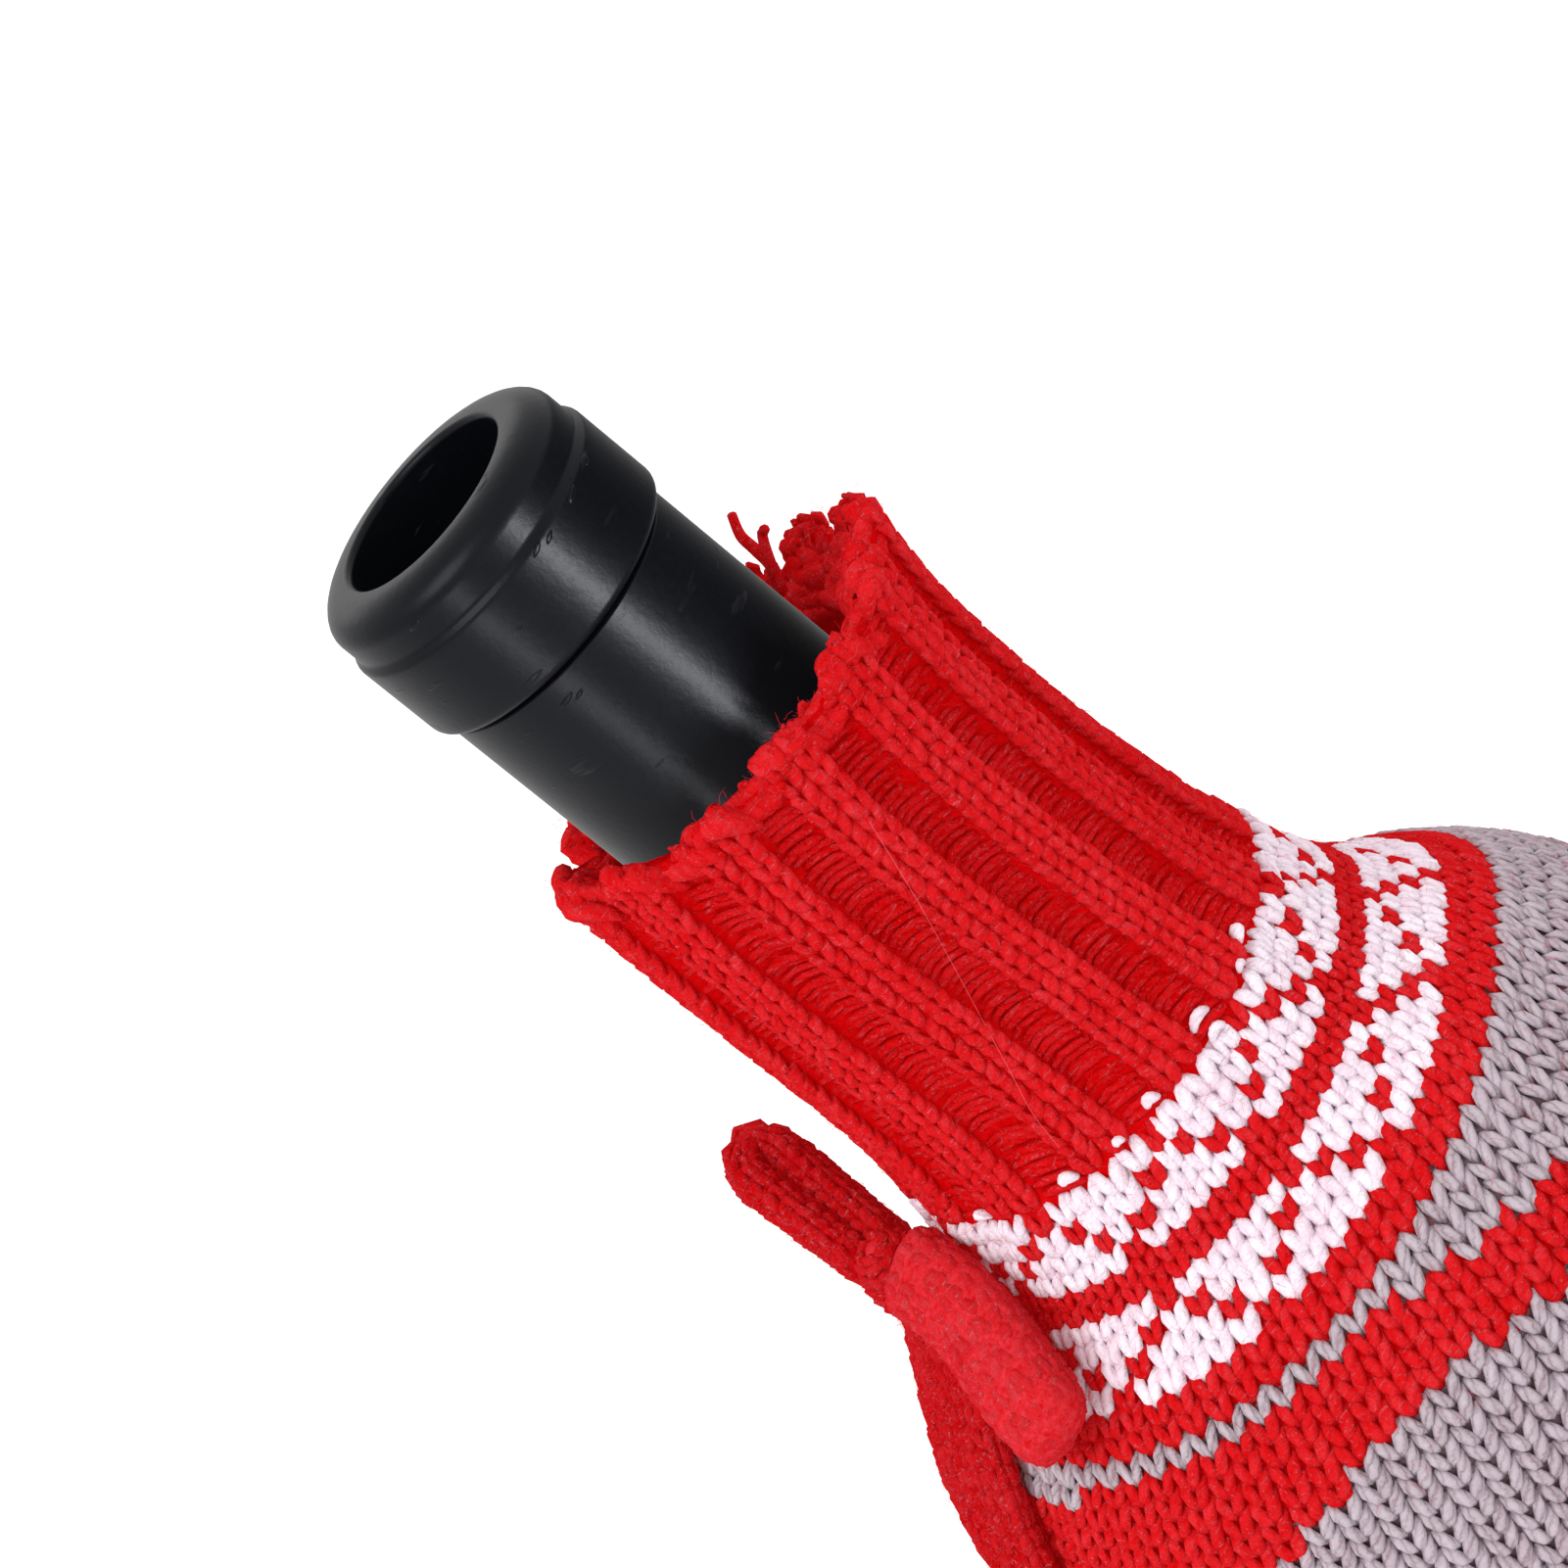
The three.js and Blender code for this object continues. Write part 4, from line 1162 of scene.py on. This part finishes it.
class Band:
    """A knitted band swept along a middle line."""

    def __init__(self, rows, width_along, fat, tone, sink, pinch):
        self.line, self.length = smooth_path(rows, 0.8)
        along = unit(np.gradient(self.line, axis=0))
        self.out = unit(np.cross(along, np.array(width_along, float)))
        self.across = unit(np.cross(self.out, along))
        self.fat, self.tone, self.sink, self.pinch = fat, tone, sink, pinch
        # A loop narrows where it folds back, farthest from the knot.
        away = np.linalg.norm(self.line - self.line[0], axis=1)
        self.tip = self.length * away.argmax() / (len(self.line) - 1)
        self.tip_way = unit(self.line[away.argmax()] - self.line[0])
        # Even steps round the band's section, so that its wales are equally wide.
        self.turns = np.linspace(0, TAU, 241)
        x, y = self.section(self.turns, TIE_WIDTH / 2, TIE_THICKNESS / 2 * fat)
        self.shares = np.concatenate([[0], np.cumsum(np.hypot(np.diff(x), np.diff(y)))])
        self.shares /= self.shares[-1]

    @staticmethod
    def section(turn, half_w, half_t):
        """The band's outline, a squarish oval, as two coordinates."""
        cos, sin = np.cos(turn), np.sin(turn)
        return (half_w * np.sign(cos) * np.abs(cos) ** BAND_POWER,
                half_t * np.sign(sin) * np.abs(sin) ** BAND_POWER)

    def at(self, s, phase, lift):
        """Point and normal at s mm along the band and a share of the way round it."""
        k = np.clip(s / self.length, 0, 1) * (len(self.line) - 1)
        i = np.clip(k.astype(int), 0, len(self.line) - 2)
        f = (k - i)[..., None]
        centre, out, across = (v[i] * (1 - f) + v[i + 1] * f for v in (self.line, self.out, self.across))
        turn = np.interp(phase % 1, self.shares, self.turns)
        end = np.clip(np.minimum(s, self.length - s) / BAND_END, 0, 1)
        end = np.sqrt(np.clip(1 - (1 - end) ** 2, 0.02, 1))
        fold = self.pinch * np.exp(-((s - self.tip) / BAND_FOLD) ** 2)
        half_w, half_t = TIE_WIDTH / 2 * end * (1 - fold), TIE_THICKNESS / 2 * self.fat * end
        x, y = self.section(turn, half_w, half_t)
        normal = unit(across * (np.cos(turn) / half_w)[..., None]
                      + out * (np.sin(turn) / half_t)[..., None])
        centre = centre - self.tip_way * (BAND_FOLD * fold * (x / half_w) ** 2)[..., None]
        return centre + across * x[..., None] + out * y[..., None] + normal * lift[..., None], normal


def knot_point(turn, rise, lift):
    """Point and normal of the knot's egg-shaped wrap."""
    way = np.cos(rise)[..., None] * outward(turn) + UP * np.sin(rise)[..., None]
    return np.array(KNOT_CENTRE) + way * (np.array(KNOT_RADII) + lift), unit(way / np.array(KNOT_RADII))


bands = {name: Band(*rest) for name, *rest in BANDS}


def tie_forms():
    """Points, rows, sides and slot of each closed form in the tie: its bands and its knot."""
    for name, band in bands.items():
        rows = len(band.line)
        s, phase = np.meshgrid(np.linspace(0, band.length, rows), np.arange(BAND_SIDES) / BAND_SIDES,
                               indexing="ij")
        points = band.at(s, phase, np.full(s.shape, -band.sink))[0].reshape(-1, 3)
        points = np.concatenate([points, band.line[:1], band.line[-1:]])
        # The front loop has the plain tie ground, the other bands the darker one with painted shade.
        yield points, rows, BAND_SIDES, int(name != "front_loop")
    pole = math.pi / 2
    turn, rise = np.meshgrid(np.linspace(0, TAU, KNOT_SIDES, endpoint=False),
                             np.linspace(-pole + 0.15, pole - 0.15, KNOT_ROWS))
    points = knot_point(turn, rise, -KNOT_SINK)[0].reshape(-1, 3)
    poles = knot_point(np.zeros(2), np.array([-pole, pole]), -KNOT_SINK)[0]
    yield np.concatenate([points, poles]), KNOT_ROWS, KNOT_SIDES, 0


def tie_sheet(name):
    """The tie's cloth, a little under the faces of the stitches."""
    base, points, quads, tris, quad_slots, tri_slots = 0, [], [], [], [], []
    for form, rows, sides, slot in tie_forms():
        points.append(form)
        quads.append(ring_quads(rows, sides) + base)
        tris.append(cap_tris(rows, sides) + base)
        quad_slots.append(np.full(len(quads[-1]), slot))
        tri_slots.append(np.full(len(tris[-1]), slot))
        base += len(form)
    return make_object(name, *(np.concatenate(v) for v in (points, quads, tris)),
                       slots=[TIE_GROUND, TIE_PAINTED_SHADE_GROUND], face_slot=np.concatenate(quad_slots + tri_slots))


def tie_legs():
    """Points, normals, widths, heights and shades of the stitches' legs, by hand, over bands and knot."""
    aside, along, out, plump = BAND_LEG.T
    for band in bands.values():
        feet = np.arange(TIE_PITCH * 1.3, band.length - 0.4, TIE_PITCH)
        wale = np.repeat(np.arange(TIE_WALES) + 0.5, len(feet))[:, None]
        foot = np.tile(feet, TIE_WALES)[:, None]
        # The deeper a band's cloth lies, the slimmer and rounder its legs are, and the deeper they reach.
        lift = out * (0.3 + 1.4 * band.sink) - 0.5
        for hand in (-1, 1):
            shake = jitter(len(wale), 3)
            phase = (wale + hand * aside + 0.03 * shake[:, :1]) / TIE_WALES
            s = foot + along * TIE_PITCH + 0.1 * shake[:, 1:2]
            width = (0.90 - 0.56 * band.sink) * plump * (1 + 0.07 * shake[:, 1:2])
            height = width * (0.6 + 0.8 * band.sink)
            # Painted light and shade: all the stitches of a band are shifted lighter or darker together.
            tone = np.full(len(wale), band.tone)
            yield *band.at(s, phase, lift + 0.06 * shake[:, 2:3]), width, height, tone
    for column in range(KNOT_COLUMNS):
        middle = (column - KNOT_COLUMNS // 2) * KNOT_COLUMN_WIDTH
        count = int(TAU * KNOT_GIRTH * math.cos(middle) / TIE_PITCH)
        turn = (np.arange(count)[:, None] / count + along / count) * TAU
        width = 0.68 * plump + 0 * turn
        # Painted shade: the knot's stitches are darker.
        tone = np.full(count, KNOT_PAINTED_SHADE)
        for hand in (-1, 1):
            rise = middle + hand * aside * KNOT_COLUMN_WIDTH + 0 * turn
            yield *knot_point(turn, rise, (out - 0.35)[:, None]), width, 0.85 * width, tone


def tie_stitches(name):
    line, normal, width, height, tone = joined(tie_legs())
    return strands(name, line, normal, width, height, 5, TIE_YARN, tone)


def band_fuzz(name):
    """Fibres at random points just under the faces of the bands' stitches."""
    spots = []
    for band_name, band in bands.items():
        count = int(band.length * (FRONT_FUZZ if band_name == "front_loop" else OTHER_FUZZ))
        s, phase = RNG.uniform(0, band.length, count), RNG.random(count)
        spots.append(band.at(s, phase, RNG.uniform(-0.1, 0.3, count)))
    return fibres(name, *joined(spots), 1.2, 0.3, TIE_FUZZ_SIZE)


tie_cloth = tie_sheet("tie_cloth")
tie_knit = tie_stitches("tie_knit")
tie_fuzz = band_fuzz("tie_fuzz")
for piece in (tie_cloth, tie_knit, tie_fuzz):
    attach(piece, "root")
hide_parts("tie")

# ---- stage and light, in m

FLOOR_CORNERS = ((-6000, -5000, 0), (6000, -5000, 0), (6000, 7000, 0), (-6000, 7000, 0))
# Where the light all round turns into the room's, how strong that is in the middle, and how it falls off
# to the right. The photo's camera sees it only in the shiny bottle. From low behind, it shows past the floor.
ROOM_FROM, ROOM_TO = -0.02, -0.12
ROOM_LIGHT, ROOM_SLOPE = 0.68, -0.66
SUN_AT, SUN_POWER, SUN_ANGLE = (-0.5, -0.55, 1.0), 1.5, math.radians(35)
# Strip lights that only the shiny bottle needs: place, height of what they look at, size and power.
STRIPS = {"strip_right": ((0.22, -0.42, 0.10), 0.28, (0.05, 0.30), 3.4),
          "strip_left": ((-0.27, -0.385, 0.10), 0.28, (0.05, 0.30), 0.8),
          "strip_back": ((-0.05, 0.60, 0.58), 0.29, (0.50, 0.10), 0.3)}


def aim(thing, at, look):
    back = unit(np.array(at, float) - np.array(look, float))
    side = unit(np.cross(UP, back))
    thing.matrix_world = placed(side, np.cross(back, side), back, at)


def strip(name, at, look_height, size, power):
    data = bpy.data.lights.new(name, "AREA")
    data.shape = "RECTANGLE"
    data.size, data.size_y = size
    data.energy = power
    thing = add_object(name, data)
    aim(thing, at, (0, 0, look_height))
    thing.visible_camera = False
    thing.light_linking.receiver_collection = bottle_only


def room():
    """White light all round above the floor, and a room below it that is darker to the right."""
    world = bpy.data.worlds.new("studio")
    w = Nodes(world, "Background")
    ways = w.axes(w.new("ShaderNodeTexCoord").outputs["Generated"])
    pairs = [("From Min", ROOM_FROM), ("From Max", ROOM_TO), ("Value", ways["Z"])]
    below = w.new("ShaderNodeMapRange", pairs).outputs[0]
    side_light = w.math("MULTIPLY_ADD", ways["X"], ROOM_SLOPE, ROOM_LIGHT)
    strength = w.new("ShaderNodeMix", [("Factor", below), ("A", 1.0), ("B", side_light)]).outputs[0]
    w.set(Strength=strength, Color=(1, 1, 1, 1))
    return world


floor = make_object("floor", FLOOR_CORNERS, [(0, 1, 2, 3)], [], slots=[FLOOR])
floor.visible_glossy = False
bpy.context.scene.world = room()

sun_data = bpy.data.lights.new("soft_sun", "SUN")
sun_data.energy = SUN_POWER
sun_data.angle = SUN_ANGLE
aim(add_object("soft_sun", sun_data), SUN_AT, (0, 0, 0))

bottle_only = bpy.data.collections.new("bottle_only")
bottle_only.objects.link(bottle)
bottle_only.objects.link(marks)
for name, settings in STRIPS.items():
    strip(name, *settings)

bpy.context.scene.view_settings.view_transform = "Standard"
bpy.context.scene.view_settings.look = "None"
